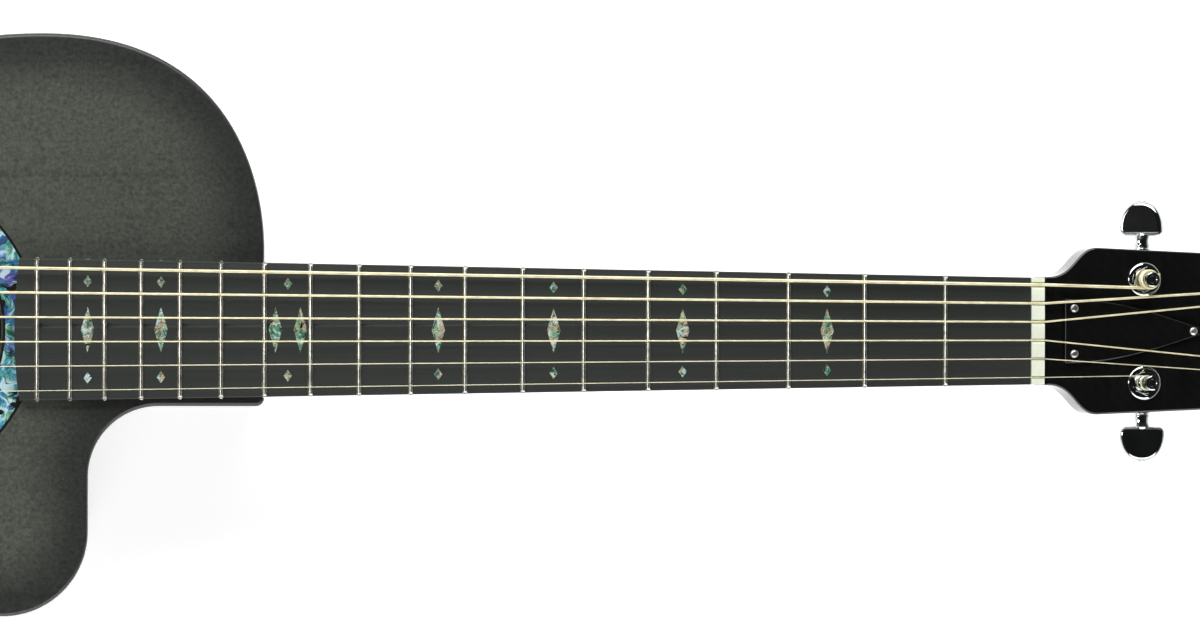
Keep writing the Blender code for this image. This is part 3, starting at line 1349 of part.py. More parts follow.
def main():
    clear_scene()
    carbon = material("carbon top", (0.075, 0.083, 0.070), 0.42)
    carbon_side = material("carbon sides", (0.012, 0.013, 0.012), 0.22)
    board = material("fingerboard", (0.043, 0.048, 0.046), 0.55)
    gloss = material("gloss black", (0.008, 0.009, 0.009), 0.12)
    plastic = material("black plastic", (0.012, 0.012, 0.012), 0.45)
    chrome = material("chrome", (0.75, 0.76, 0.77), 0.12, 1.0)
    steel = material("plain steel", (0.70, 0.70, 0.68), 0.25, 1.0)
    bronze = material("wound bronze", (0.78, 0.66, 0.38), 0.30, 1.0)
    bone = material("bone white", (0.78, 0.80, 0.74), 0.35)
    shell = material("shell inlay", (0.10, 0.32, 0.36), 0.20)
    core = material("foam core", (0.30, 0.22, 0.14), 0.70)
    circuit = material("circuit board", (0.02, 0.10, 0.05), 0.50)

    outline = bass_flank() + treble_flank()
    root = empty("guitar", None, resting_matrix())
    head = empty("headstock_face", root, head_matrix())

    make_soundboard(outline, carbon, root)
    make_rosette(shell, root)
    make_sides(outline, carbon_side, root)
    make_back(outline, carbon_side, root)
    make_blocks(outline, core, root)
    make_neck(gloss, root, head)
    make_truss_rod(steel, root)
    make_truss_cover(gloss, head)
    make_fingerboard(board, root)
    make_nut(bone, root)
    make_tuners(chrome, head)
    make_bridge(board, root)
    make_saddle(bone, steel, root)
    make_pins(plastic, root)
    make_bridge_plate(core, root)
    make_strings(bronze, steel, root)
    make_panel(plastic, root)
    make_door(plastic, root)
    make_preamp_case(plastic, circuit, root)
    make_controls(plastic, root)
    make_battery(steel, root)
    make_jack(chrome, root)
    make_leads(plastic, root)


main()
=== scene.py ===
import math

import bmesh
import bpy
from mathutils import Matrix, Vector, kdtree


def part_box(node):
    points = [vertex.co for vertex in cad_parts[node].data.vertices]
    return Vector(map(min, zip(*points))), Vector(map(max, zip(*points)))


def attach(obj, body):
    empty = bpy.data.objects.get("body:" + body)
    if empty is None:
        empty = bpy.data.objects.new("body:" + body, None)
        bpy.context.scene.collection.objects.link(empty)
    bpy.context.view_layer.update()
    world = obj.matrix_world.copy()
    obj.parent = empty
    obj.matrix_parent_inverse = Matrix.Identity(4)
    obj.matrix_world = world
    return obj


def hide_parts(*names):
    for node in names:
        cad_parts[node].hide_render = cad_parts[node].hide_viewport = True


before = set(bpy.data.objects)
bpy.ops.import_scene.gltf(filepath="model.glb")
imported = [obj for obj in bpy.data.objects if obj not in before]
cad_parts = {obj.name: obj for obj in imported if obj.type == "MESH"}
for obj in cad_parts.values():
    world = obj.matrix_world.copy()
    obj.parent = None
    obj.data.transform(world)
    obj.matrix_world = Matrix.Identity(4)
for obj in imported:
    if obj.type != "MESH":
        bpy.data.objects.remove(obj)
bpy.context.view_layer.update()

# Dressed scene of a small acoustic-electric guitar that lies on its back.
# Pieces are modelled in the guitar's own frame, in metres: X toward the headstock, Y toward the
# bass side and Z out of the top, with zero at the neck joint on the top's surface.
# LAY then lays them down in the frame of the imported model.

bl_info = {
    "name": "Acoustic-electric guitar",
    "version": (1, 0, 0),
    "blender": (4, 5, 0),
    "location": "View3D > Sidebar > Guitar",
    "description": "Models and finishes a small acoustic-electric guitar round its packed solids",
    "category": "Object",
}

GAP = 0.0003
SAME_PLACE = 1e-7
CUT_REACH = 0.01
BODY_FRET = 12
SCALE_LENGTH = 0.64516
FRET_COUNT = 18
STRING_DIAMETERS = (0.00030, 0.00041, 0.00061, 0.00081, 0.00107, 0.00135)
NUT_SPREAD = 0.0390
SADDLE_SPREAD = 0.0575
NUT_CLEARANCE = 0.0005
ACTION = 0.0022
WRAP_TURNS = 2.25
WRAP_SPACE = 0.0005
WRAP_OVER_BUSHING = 0.0018
WRAP_STEPS = 28
PLAIN_STRINGS = 2

BODY_LENGTH = 0.495
UPPER_BOUT_AT = 0.0915
UPPER_BOUT_HALF = 0.1236
WAIST_AT = 0.190
WAIST_HALF = 0.1115
LOWER_BOUT_AT = 0.366
LOWER_BOUT_HALF = 0.180
SHOULDER_START = 0.005
SHOULDER_LEAD = 0.030
SHOULDER_TRAIL = 0.078
WAIST_EASE = 0.042
LOWER_EASE = 0.074
TAIL_EASE = 0.108
HORN_AT = 0.1087
HORN_HALF = 0.1197
HORN_RADIUS = 0.0353
CUTAWAY_RADIUS = 0.0295
CUTAWAY_LEDGE = 0.0040
JOINT_CORNER = 0.0034
DEPTH_AT_NECK = 0.088
DEPTH_AT_TAIL = 0.104
TAPER = (DEPTH_AT_TAIL - DEPTH_AT_NECK) / BODY_LENGTH
TOP_THICKNESS = 0.0026
TOP_ROUNDING = 0.0018
SIDE_THICKNESS = 0.0025
BACK_THICKNESS = 0.0025
BACK_ARCH = 0.0030
BACK_FLAT_SHARE = 0.74
BACK_CENTRE_AT = 0.280
BACK_CURVE = 1.6
BACK_STEPS = 10
BACK_RIM_ROUNDING = 0.0014
LINING_WIDTH = 0.0055
LINING_HEIGHT = 0.0050
RIM_TOP = -TOP_THICKNESS - GAP
PREAMP_START = 0.0803
PREAMP_END = 0.1765
PREAMP_TOP = 0.022
PREAMP_HEIGHT = 0.040
PREAMP_MIDDLE = PREAMP_TOP + PREAMP_HEIGHT / 2
WINDOW_FROM = 0.095
WINDOW_TO = 0.15
SOUNDHOLE_AT = 0.1603
SOUNDHOLE_RADIUS = 0.0508
ROSETTE_INNER = 0.0517
ROSETTE_OUTER = 0.0662
ROSETTE_THICKNESS = 0.0010
SHELL_PROUD = 0.00003
LINE_PROUD = 0.00004

BOARD_WIDTH_NUT = 0.0452
BOARD_WIDTH_JOINT = 0.0560
BOARD_THICKNESS = 0.0062
BOARD_TOP = GAP + BOARD_THICKNESS
BOARD_RADIUS = 0.4064
BOARD_OVERHANG = 0.1041
BOARD_END_BULGE = 0.0021
BOARD_ROUNDING = 0.00045
BLANK_HALF = 0.031
FRET_END_SET_BACK = 0.0003
FRET_END_LEAN = 35
DOUBLE_MARKER_SHIFT = 0.0052
POINT_LENGTH_SHARE = 0.26
POINT_WIDTH_SHARE = 0.62
SIDE_DOT_RADIUS = 0.0010
SIDE_DOT_BELOW = 0.0032
DOUBLE_DOT_SHIFT = 0.003
FRET_WIDTH = 0.0021
FRET_HEIGHT = 0.0011
FRET_TOP = BOARD_TOP + FRET_HEIGHT
NUT_THICKNESS = 0.0055
NUT_SEAT = 0.0005

NECK_DEPTH_NUT = 0.0142
NECK_DEPTH_HEEL = 0.0172
HEEL_DEPTH = 0.076
HEEL_LENGTH = 0.066
HEEL_FALL = 2.3
NECK_ROUNDNESS = 0.85
NECK_STEPS = 60
NECK_SIDES = 28
NECK_STEP_CURVE = 1.35
HEAD_OVERLAP = 0.016
HEAD_ANGLE = 8.0
HEAD_STEP = 0.0035
HEAD_THICKNESS = 0.0150
HEAD_LENGTH = 0.143
HEAD_FLARE_AT = 0.024
HEAD_FLARE_HALF = 0.0353
HEAD_TAPER = 0.0425
HEAD_CREST = 0.010
HEAD_START_FLAT = 0.002
HEAD_CURVE_SHARE = 0.8
HEAD_TIP_SHARE = 0.75
HEAD_ROUNDING = 0.0009
COVER_AT = 0.0088
COVER_LENGTH = 0.0659
COVER_WIDTH = 0.0272
COVER_THICKNESS = 0.0020
COVER_SCREWS = ((0.0128, 0.0096, 20), (0.0128, -0.0096, 65), (0.0655, 0.0, 40))

FIRST_TUNER_AT = 0.0443
TUNER_SPACING = 0.0375
EDGE_TO_POST = 0.0126
POST_RADIUS = 0.0032
POST_WAIST = 0.0026
POST_HEIGHT = 0.0125
POST_CAP = 0.0028
POST_HOLE_RADIUS = 0.0009
POST_FOOT = 0.0032
WASHER_RADIUS = 0.00725
WASHER_THICKNESS = 0.0011
HEX_RADIUS = 0.0056
HEX_HEIGHT = 0.0013
BUSHING_RADIUS = 0.0047
CASE_LENGTH = 0.0165
CASE_INNER = 0.0078
CASE_OUTER = 0.0095
CASE_DEPTH = 0.0130
KEY_AXIS_DEPTH = 0.0080
KEY_AXIS_AHEAD = 0.0065
KEY_SHAFT_RADIUS = 0.0030
KEY_COLLAR_RADIUS = 0.0036
KEY_COLLAR_END = 0.0135
KEY_SHAFT_INNER = 0.0030
BUTTON_AT = 0.0187
BUTTON_WIDTH = 0.0192
BUTTON_HEIGHT = 0.0149
BUTTON_THICKNESS = 0.0062
BUTTON_CORNER = 0.0030
BUTTON_TURNS = (14.0, -20.0, 32.0, -12.0, 24.0, -36.0)

COMPENSATION_TREBLE = 0.0025
COMPENSATION_BASS = 0.0055
BRIDGE_WIDTH = 0.155
BRIDGE_AHEAD = 0.0095
BRIDGE_BEHIND = 0.0235
BRIDGE_HEIGHT = 0.0085
BRIDGE_WING = 0.0035
BRIDGE_FLAT_HALF = 0.040
BRIDGE_CORNER = 0.009
SADDLE_LENGTH = 0.072
SADDLE_THICKNESS = 0.0032
PIN_BEHIND = 0.0145
PIN_RADIUS = 0.0026
PIN_HEAD_RADIUS = 0.0034
PIN_HEAD_HEIGHT = 0.0032
PIN_DOT_RADIUS = 0.0014
PIN_LENGTH = 0.022
PLATE_THICKNESS = 0.0030

PREAMP_PROUD = 0.00075
PREAMP_BACK = 0.08318
BOARD_SET_BACK = 0.0090
SLIDER_PLACES = (0.123, 0.134, 0.145)
SLIDER_TRAVEL = 0.018
SLIDER_SLOT_WIDTH = 0.0028
SLIDER_CAP = 0.0060
SLIDER_CAP_HEIGHT = 0.0042
KNOB_AT = 0.161
KNOB_RADIUS = 0.0080
KNOB_HEIGHT = 0.0060
KNOB_SHAFT_RADIUS = 0.0030
SWITCH_AT = 0.1130
SWITCH_RADIUS = 0.0027
SWITCH_PROUD = 0.0016
SWITCH_ROOM = 0.0012
CONTROL_FOOT = -SIDE_THICKNESS - BOARD_SET_BACK + 3 * GAP
CONTROL_LOW = PREAMP_PROUD + 2 * GAP
MARK_PROUD = 0.00005
MARK_DEPTH = 0.0003
PANEL_SCREW_PLACES = (0.1075, 0.1735)
PANEL_SCREW_ASIDE = 0.0172

SADDLE_SLOT_FLOOR = 0.0030
JACK_INNER_END = -0.4642
LEAD_RADIUS = 0.0014
LEAD_HOLE_RADIUS = 0.0018
LEAD_STRAIGHT = 0.008
LEAD_SPREAD = 0.012
PICKUP_LEAD_AT = 0.160
JACK_LEAD_AT = 0.148
JACK_RADIUS = 0.0060
JACK_BORE = 0.0033
JACK_FLANGE_RADIUS = 0.0098
JACK_FLANGE_LENGTH = 0.0075
JACK_LENGTH = 0.0338
JACK_BORE_DEPTH = 0.022

MARKED_FRETS = (3, 5, 7, 9, 12, 15, 17)
STRING_COUNT = len(STRING_DIAMETERS)

CAMERA_LENS = 194.3
CAMERA_SENSOR = 36.0
CAMERA_REACH = 50.0
CAMERA_PLACE = (-0.0933, 0.0060, 2.7096)
CAMERA_LEAN = -0.08619
CAMERA_ROLL = 0.107
LAMPS = (
    ("key", (-0.25, 1.60, 1.45), (2.8, 1.4), 61.0),
    ("fill", (0.35, -1.75, 1.25), (2.8, 1.4), 38.0),
    ("end", (-1.9, 0.1, 1.1), (0.5, 1.4), 15.0),
)
FLOOR_SIZE = 9.0
FLOOR_BELOW = 0.0002
FLOOR_GLOW = 0.60
FLOOR_WHITE = (0.9, 1.8)
SKY_STOPS = (
    (0.04, (0.95, 0.95, 0.95, 1)),
    (0.15, (0.42, 0.42, 0.42, 1)),
    (0.29, (0.06, 0.06, 0.06, 1)),
    (0.80, (0.012, 0.013, 0.012, 1)),
)


def fret_distance(number):
    """Distance of a fret from the nut."""
    return SCALE_LENGTH * (1 - 2 ** (-number / 12))


NUT_X = fret_distance(BODY_FRET)
JOINT_HALF = BOARD_WIDTH_JOINT / 2
STRING_AT_NUT = FRET_TOP + NUT_CLEARANCE
STRING_AT_SADDLE = 2 * (FRET_TOP + ACTION) - STRING_AT_NUT
SADDLE_X = NUT_X - SCALE_LENGTH - (COMPENSATION_TREBLE + COMPENSATION_BASS) / 2
SADDLE_SLANT = math.atan((COMPENSATION_BASS - COMPENSATION_TREBLE) / SADDLE_SPREAD)
PIN_X = SADDLE_X - PIN_BEHIND
BUSHING_FRONT = GAP + WASHER_THICKNESS + HEX_HEIGHT


def at(x, y, z):
    """A move by a distance along each axis."""
    return Matrix.Translation((x, y, z))


def rotation(axis, degrees):
    """A turn about an axis."""
    return Matrix.Rotation(math.radians(degrees), 4, axis)


def resting_matrix():
    """The guitar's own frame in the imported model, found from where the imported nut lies."""
    turn = Matrix.Rotation(math.atan(TAPER), 4, "Y")
    foot = turn @ Vector((NUT_X, 0, GAP - NUT_SEAT))
    back = turn @ Vector((0, 0, -DEPTH_AT_NECK))
    return at(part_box("nut")[0][0] - foot.x, 0, -back.z) @ turn


LAY = resting_matrix()
JACK_PLACE = at(-BODY_LENGTH, 0, -DEPTH_AT_TAIL / 2) @ rotation("Y", 90)
HEAD = at(NUT_X + NUT_THICKNESS + GAP, 0, HEAD_STEP) @ rotation("Y", HEAD_ANGLE)


def set_stops(ramp, stops):
    """Gives a new colour ramp, which has two stops, all the stops of a list."""
    elements = ramp.elements
    elements[0].position, elements[0].color = stops[0]
    elements[1].position, elements[1].color = stops[-1]
    for place, colour in stops[1:-1]:
        elements.new(place).color = colour


class Amount:
    """A number in a finish's nodes, so that its maths is written as Python."""

    def __init__(self, finish, socket):
        self.finish = finish
        self.socket = socket

    def __add__(self, other):
        return self.finish.maths("ADD", self, other)

    __radd__ = __add__

    def __sub__(self, other):
        return self.finish.maths("SUBTRACT", self, other)

    def __rsub__(self, other):
        return self.finish.maths("SUBTRACT", other, self)

    def __mul__(self, other):
        return self.finish.maths("MULTIPLY", self, other)

    def __truediv__(self, other):
        return self.finish.maths("DIVIDE", self, other)


class Finish:
    """The nodes of one surface finish, kept by its name for the pieces that wear it."""

    made = {}

    def __init__(self, name, **uniform):
        self.material = bpy.data.materials.new(name)
        self.material.use_nodes = True
        self.tree = self.material.node_tree
        self.shader = self.tree.nodes["Principled BSDF"]
        for key, value in uniform.items():
            self.shader.inputs[key.replace("_", " ").title().replace("Ior", "IOR")].default_value = value
        Finish.made[name] = self.material

    def node(self, kind, settings=None, inputs=None):
        """A node of a type, with its settings made first and then its sockets fed."""
        made = self.tree.nodes.new(kind)
        for key, value in (settings or {}).items():
            if key == "stops":
                set_stops(made.color_ramp, value)
            else:
                setattr(made, key, value)
        for key, value in (inputs or {}).items():
            self.feed(made.inputs[key], value)
        return made

    def feed(self, socket, value):
        if isinstance(value, Amount):
            value = value.socket
        if isinstance(value, bpy.types.NodeSocket):
            self.tree.links.new(value, socket)
        else:
            socket.default_value = value

    def maths(self, operation, first, second=0.0):
        made = self.node("ShaderNodeMath", {"operation": operation}, {0: first, 1: second})
        return Amount(self, made.outputs[0])

    def place(self, scale=(1, 1, 1), turn=(0, 0, 0)):
        """Places on the piece, stretched and turned for a pattern."""
        source = self.node("ShaderNodeTexCoord").outputs["Object"]
        made = self.node("ShaderNodeMapping", None, {"Vector": source, "Rotation": turn, "Scale": scale})
        return made.outputs[0]

    def along(self, axis, where=None):
        """One coordinate of a place."""
        made = self.node("ShaderNodeSeparateXYZ", None, {0: where or self.place()})
        return Amount(self, made.outputs[axis])

    def stored(self, name):
        """A number that the piece keeps at its corners."""
        made = self.node("ShaderNodeAttribute", {"attribute_name": name})
        return Amount(self, made.outputs["Fac"])

    def noise(self, where, scale, detail=2.0, roughness=0.5, distortion=0.0):
        inputs = {"Vector": where, "Scale": scale, "Detail": detail, "Roughness": roughness}
        inputs["Distortion"] = distortion
        return Amount(self, self.node("ShaderNodeTexNoise", None, inputs).outputs[0])

    def cells(self, where, scale):
        """Colours of a pattern of broken patches."""
        return self.node("ShaderNodeTexVoronoi", None, {"Vector": where, "Scale": scale}).outputs["Color"]

    def between(self, amount, low, high, first=0.0, last=1.0):
        """A soft step of an amount from first to last as it goes from low to high."""
        settings = {"interpolation_type": "SMOOTHSTEP"}
        inputs = {0: amount, 1: low, 2: high, 3: first, 4: last}
        return Amount(self, self.node("ShaderNodeMapRange", settings, inputs).outputs[0])

    def ramp(self, amount, *stops):
        settings = {"stops": [(place, (*colour, 1.0)) for place, colour in stops]}
        return self.node("ShaderNodeValToRGB", settings, {0: amount}).outputs[0]

    def mixed(self, share, first, second):
        made = self.node("ShaderNodeMix", {"data_type": "RGBA"}, {0: share})
        for key, value in ((6, first), (7, second)):
            self.feed(made.inputs[key], (*value, 1.0) if isinstance(value, tuple) else value)
        return made.outputs[2]

    def toned(self, colour, amount):
        """A colour made lighter or darker by an amount."""
        made = self.node("ShaderNodeVectorMath", {"operation": "SCALE"}, {"Scale": amount})
        self.feed(made.inputs[0], colour)
        return made.outputs[0]

    def wear(self, colour=None, roughness=None, height=None, depth=0.0001):
        """Feeds what varies over the surface into the shader."""
        if colour is not None:
            self.feed(self.shader.inputs["Base Color"], colour)
        if roughness is not None:
            self.feed(self.shader.inputs["Roughness"], roughness)
        if height is not None:
            bump = self.node("ShaderNodeBump", None, {"Distance": depth, "Height": height})
            self.feed(self.shader.inputs["Normal"], bump.outputs[0])

    def twill(self, across, up, pitch):
        """Woven cloth in which each tow passes over two others: 1 on one set of tows, 0 on the other."""
        column = self.maths("FLOOR", across / pitch)
        row = self.maths("FLOOR", up / pitch)
        step = self.maths("FLOORED_MODULO", column + row, 4.0)
        return self.maths("LESS_THAN", step, 1.5)


def finish_carbon_top(colours):
    finish = Finish("carbon_top", coat_weight=0.35, coat_roughness=0.22)
    grain = finish.noise(finish.place((9, 700, 9)), 1.0, 3.0, 0.6)
    streaks = finish.noise(finish.place((1.6, 130, 1.6)), 1.0, 1.0)
    speckle = finish.noise(finish.place(), 620.0, 2.0, 0.75)
    blotch = finish.noise(finish.place((12, 20, 12)), 1.0, 4.0, 0.6)
    # The top darkens toward its edge within about 30 mm of the outline: a dark burst that is mostly painted shade of
    # the studio's light. The blotches wobble the band's inner edge.
    reach = finish.stored("edge_reach") + (blotch - 0.5) * 0.014
    edge_burst_and_shade = finish.between(reach, 0.004, 0.030)
    base = finish.mixed(edge_burst_and_shade, tuple(colours.top_burst_and_shade), tuple(colours.top_middle))
    lines = finish.between(streaks, 0.36, 0.30)
    tone = -0.13 + grain * 0.26 + speckle * 1.70 + blotch * 0.26 - lines * 0.18
    # Painted shade: the top is up to a fifth darker toward the neck joint, from 115 mm to 20 mm behind it.
    dim = finish.between(finish.along(0), (LAY @ Vector((-0.115, 0, 0))).x, (LAY @ Vector((-0.02, 0, 0))).x)
    finish.wear(finish.toned(base, tone * (1 - dim * 0.20)), 0.36 + speckle * 0.22, grain + speckle * 0.5, 0.00003)


def finish_carbon_side(colours):
    finish = Finish("carbon_side", coat_weight=1.0, coat_roughness=0.04, specular_ior_level=0.12)
    weave = finish.twill(finish.stored("girth"), finish.along(2), 0.0021)
    fibre = finish.noise(finish.place((300, 300, 900)), 1.0, 2.0)
    base = finish.mixed(weave, (0.005, 0.006, 0.0055), (0.015, 0.0165, 0.0155))
    finish.wear(finish.toned(base, 0.75 + fibre * 0.5), 0.34 + weave * 0.14, weave * 0.4 + fibre * 0.2, 0.00002)


def finish_carbon_back(colours):
    finish = Finish("carbon_back", coat_weight=1.0, coat_roughness=0.05)
    where = finish.place(turn=(0, 0, math.radians(45)))
    weave = finish.twill(finish.along(0, where), finish.along(1, where), 0.0024)
    fibre = finish.noise(finish.place((500, 500, 50)), 1.0, 2.0)
    base = finish.mixed(weave, (0.015, 0.017, 0.016), (0.029, 0.032, 0.030))
    finish.wear(finish.toned(base, 0.75 + fibre * 0.5), 0.36 + weave * 0.14, weave * 0.4 + fibre * 0.2, 0.00002)


def finish_gloss_black(colours):
    finish = Finish("gloss_black", coat_weight=1.0, coat_roughness=0.03, specular_ior_level=0.2)
    weave = finish.twill(finish.along(0), finish.along(1), 0.0016)
    streak = finish.noise(finish.place((700, 26, 26)), 1.0, 2.0)
    tone = 0.22 + weave * 0.24 + streak * 0.36
    finish.wear(finish.toned(tuple(colours.gloss), tone), 0.30 + streak * 0.2, weave + streak, 0.000012)


def finish_fingerboard(colours):
    finish = Finish("fingerboard_composite", coat_weight=0.0)
    grain = finish.noise(finish.place((14, 900, 14)), 1.0, 3.0, 0.65)
    wide = finish.noise(finish.place((5, 120, 5)), 1.0, 2.0)
    dust = finish.noise(finish.place(), 900.0, 2.0)
    dim = finish.between(finish.along(0), (LAY @ Vector((0.05, 0, 0))).x, (LAY @ Vector((NUT_X, 0, 0))).x)
    tone = (0.70 + grain * 0.34 + wide * 0.12) * (1 - dim * 0.22)
    finish.wear(finish.toned(tuple(colours.board), tone), 0.44 + grain * 0.22, grain + dust * 0.4, 0.00004)


def finish_fret_metal(colours):
    # The second finish colours a gold strip beside each fret's crown: a painted highlight of the crown's shoulder.
    for name, dark, light, rough in (
        ("fret_metal", (0.46, 0.47, 0.43), (0.76, 0.77, 0.71), 0.24),
        ("painted_fret_glint", (0.42, 0.37, 0.24), (0.62, 0.56, 0.38), 0.30),
    ):
        finish = Finish(name, metallic=1.0)
        drawn = finish.noise(finish.place((1500, 30, 1500)), 1.0, 2.0)
        worn = finish.noise(finish.place(), 420.0, 2.0)
        base = finish.ramp(worn, (0.35, dark), (0.65, light))
        finish.wear(base, rough + drawn * 0.12, drawn, 0.000008)


def finish_metals(colours):
    for name, dark, light, rough in (
        ("chrome", (0.50, 0.52, 0.51), (0.66, 0.68, 0.67), 0.03),
        ("plain_steel", (0.52, 0.52, 0.51), (0.74, 0.74, 0.72), 0.22),
        ("plain_string", (0.72, 0.68, 0.50), (0.90, 0.86, 0.66), 0.42),
    ):
        finish = Finish(name, metallic=1.0)
        smear = finish.noise(finish.place(), 90.0, 3.0)
        scratch = finish.noise(finish.place((300, 1800, 300)), 1.0, 1.0)
        base = finish.ramp(smear, (0.35, dark), (0.65, light))
        finish.wear(base, rough + smear * rough, scratch, 0.000003)
    finish = Finish("wound_bronze", metallic=1.0)
    length = finish.along(1, finish.node("ShaderNodeUVMap").outputs[0])
    wraps = finish.maths("SINE", length * (math.tau / 0.00026)) * 0.5 + 0.5
    patina = finish.noise(finish.place(), 240.0, 2.0)
    base = finish.ramp(patina, (0.3, (0.80, 0.73, 0.47)), (0.7, tuple(colours.winding)))
    # Painted shade: each winding is lighter on its ridge and darker in the groove between wraps.
    finish.wear(finish.toned(base, 0.86 + wraps * 0.20), 0.42 + patina * 0.12, wraps, 0.00003)


def shell_finish(name, scale, dark_share, *stops):
    """Shell in soft patches with painted highlights where they flash, with dark patches and drawn-out growth lines.
    """
    finish = Finish(name, coat_weight=1.0, coat_roughness=0.04)
    where = finish.place()
    drift = finish.node("ShaderNodeTexNoise", None, {"Vector": where, "Scale": scale * 0.8}).outputs["Color"]
    pull = (1.5 / scale,) * 3
    shift = finish.node("ShaderNodeVectorMath", {"operation": "MULTIPLY_ADD"}, {0: drift, 1: pull, 2: where})
    moved = shift.outputs[0]
    patch = finish.cells(moved, scale)
    cloud = finish.noise(moved, scale * 0.7, 2.0, 0.45, 1.0)
    hue = finish.along(0, patch) * 0.62 + (cloud - 0.5) * 1.5 + 0.19
    flow = finish.noise(moved, scale * 0.55, 2.0, 0.5, 1.6)
    bands = finish.maths("SINE", flow * 70.0 + hue * 9.0) * 0.5 + 0.5
    tilt = finish.noise(moved, scale * 1.1, 1.5, 0.5, 1.4)
    # Painted highlight: where the tilt noise is high, the shell is mixed toward a pale blue-white, as if light
    # flashed off the patches.
    flash = finish.between(tilt, 0.54, 0.66)
    sunk = finish.between(tilt, 0.44, 0.34)
    growth = finish.maths("ABSOLUTE", finish.maths("FRACT", flow * 6.0) - 0.5)
    line = finish.between(growth, 0.042, 0.020) * finish.between(cloud, 0.42, 0.52)
    gloom = finish.between(finish.noise(where, scale * 0.9, 1.0, 0.4, 1.2), 0.385 - dark_share, 0.375 - dark_share)
    colour = finish.toned(finish.ramp(hue, *stops), 0.60 + bands * 0.45)
    colour = finish.mixed(flash * 0.75, colour, (0.62, 0.80, 0.86))
    colour = finish.mixed(sunk * 0.80, colour, (0.010, 0.034, 0.052))
    colour = finish.mixed(finish.maths("MAXIMUM", gloom, line * 0.9), colour, (0.016, 0.012, 0.004))
    finish.wear(colour, 0.16 + bands * 0.14, flow, 0.00003)


def finish_shell(colours):
    shell_finish(
        "shell",
        115.0,
        0.0,
        (0.00, (0.130, 0.120, 0.420)),
        (0.18, (0.060, 0.110, 0.360)),
        (0.34, (0.050, 0.240, 0.400)),
        (0.48, (0.110, 0.440, 0.500)),
        (0.60, (0.050, 0.270, 0.240)),
        (0.70, (0.210, 0.480, 0.230)),
        (0.80, (0.140, 0.400, 0.560)),
        (1.00, (0.120, 0.160, 0.480)),
    )
    shell_finish(
        "pearl",
        330.0,
        0.07,
        (0.00, (0.080, 0.130, 0.090)),
        (0.25, (0.130, 0.360, 0.210)),
        (0.42, (0.360, 0.520, 0.330)),
        (0.58, (0.600, 0.480, 0.270)),
        (0.72, (0.480, 0.360, 0.270)),
        (0.86, (0.080, 0.360, 0.260)),
        (1.00, (0.240, 0.320, 0.220)),
    )


def finish_bone(colours):
    finish = Finish("bone", coat_weight=0.3, coat_roughness=0.15)
    pore = finish.noise(finish.place((160, 60, 400)), 6.0, 4.0, 0.6)
    cloud = finish.noise(finish.place(), 120.0, 2.0)
    base = finish.mixed(cloud, tuple(colours.bone), (0.70, 0.71, 0.62))
    finish.wear(finish.toned(base, 0.90 + pore * 0.18), 0.30 + pore * 0.2, pore, 0.00002)


def finish_plastics(colours):
    for name, base, rough, scale, depth in (
        ("black_plastic", (0.014, 0.014, 0.015), 0.38, 1500.0, 0.00004),
        ("black_line", (0.004, 0.004, 0.004), 0.30, 600.0, 0.00001),
        ("soft_black", (0.009, 0.009, 0.009), 0.55, 900.0, 0.00003),
        ("white_mark", (0.78, 0.79, 0.76), 0.40, 700.0, 0.00001),
        ("lead_cover", (0.018, 0.018, 0.019), 0.42, 500.0, 0.00003),
        ("battery_skin", (0.020, 0.022, 0.024), 0.30, 300.0, 0.00001),
    ):
        finish = Finish(name)
        skin = finish.noise(finish.place(), scale, 2.0, 0.6)
        smear = finish.noise(finish.place(), 45.0, 3.0)
        finish.wear(finish.toned(base, 0.8 + smear * 0.4), rough + smear * 0.12, skin, depth)


def finish_bridge(colours):
    finish = Finish("bridge_composite", coat_weight=0.15, coat_roughness=0.2)
    grain = finish.noise(finish.place((700, 12, 12)), 1.0, 3.0, 0.6)
    wide = finish.noise(finish.place((90, 4, 4)), 1.0, 2.0)
    base = finish.mixed(wide, (0.016, 0.017, 0.016), (0.034, 0.036, 0.033))
    finish.wear(finish.toned(base, 0.7 + grain * 0.6), 0.40 + grain * 0.18, grain, 0.00003)


def finish_core(colours):
    finish = Finish("core")
    grain = finish.noise(finish.place((6, 160, 90)), 1.0, 4.0, 0.6, 0.4)
    fleck = finish.noise(finish.place(), 500.0, 2.0)
    base = finish.ramp(grain, (0.3, (0.20, 0.13, 0.075)), (0.7, (0.38, 0.27, 0.16)))
    finish.wear(finish.toned(base, 0.85 + fleck * 0.3), 0.6 + grain * 0.2, grain, 0.00008)


def finish_circuit(colours):
    finish = Finish("circuit", coat_weight=0.3, coat_roughness=0.2)
    tracks = finish.maths("LESS_THAN", finish.maths("FRACT", finish.along(2) / 0.0019), 0.28)
    cuts = finish.maths("GREATER_THAN", finish.noise(finish.place((90, 90, 500)), 1.0, 1.0), 0.52)
    base = finish.mixed(tracks * cuts, (0.010, 0.070, 0.030), (0.30, 0.24, 0.09))
    film = finish.noise(finish.place(), 200.0, 2.0)
    finish.wear(finish.toned(base, 0.8 + film * 0.4), 0.35 + film * 0.2, tracks * cuts, 0.00004)


FINISH_MAKERS = (
    finish_carbon_top,
    finish_carbon_side,
    finish_carbon_back,
    finish_gloss_black,
    finish_fingerboard,
    finish_fret_metal,
    finish_metals,
    finish_shell,
    finish_bone,
    finish_plastics,
    finish_bridge,
    finish_core,
    finish_circuit,
)


def begin(*chosen):
    """Object mode with only these pieces selected, the first one active."""
    if bpy.context.mode != "OBJECT":
        bpy.ops.object.mode_set(mode="OBJECT")
    bpy.ops.object.select_all(action="DESELECT")
    for piece in chosen:
        piece.select_set(True)
    if chosen:
        bpy.context.view_layer.objects.active = chosen[0]


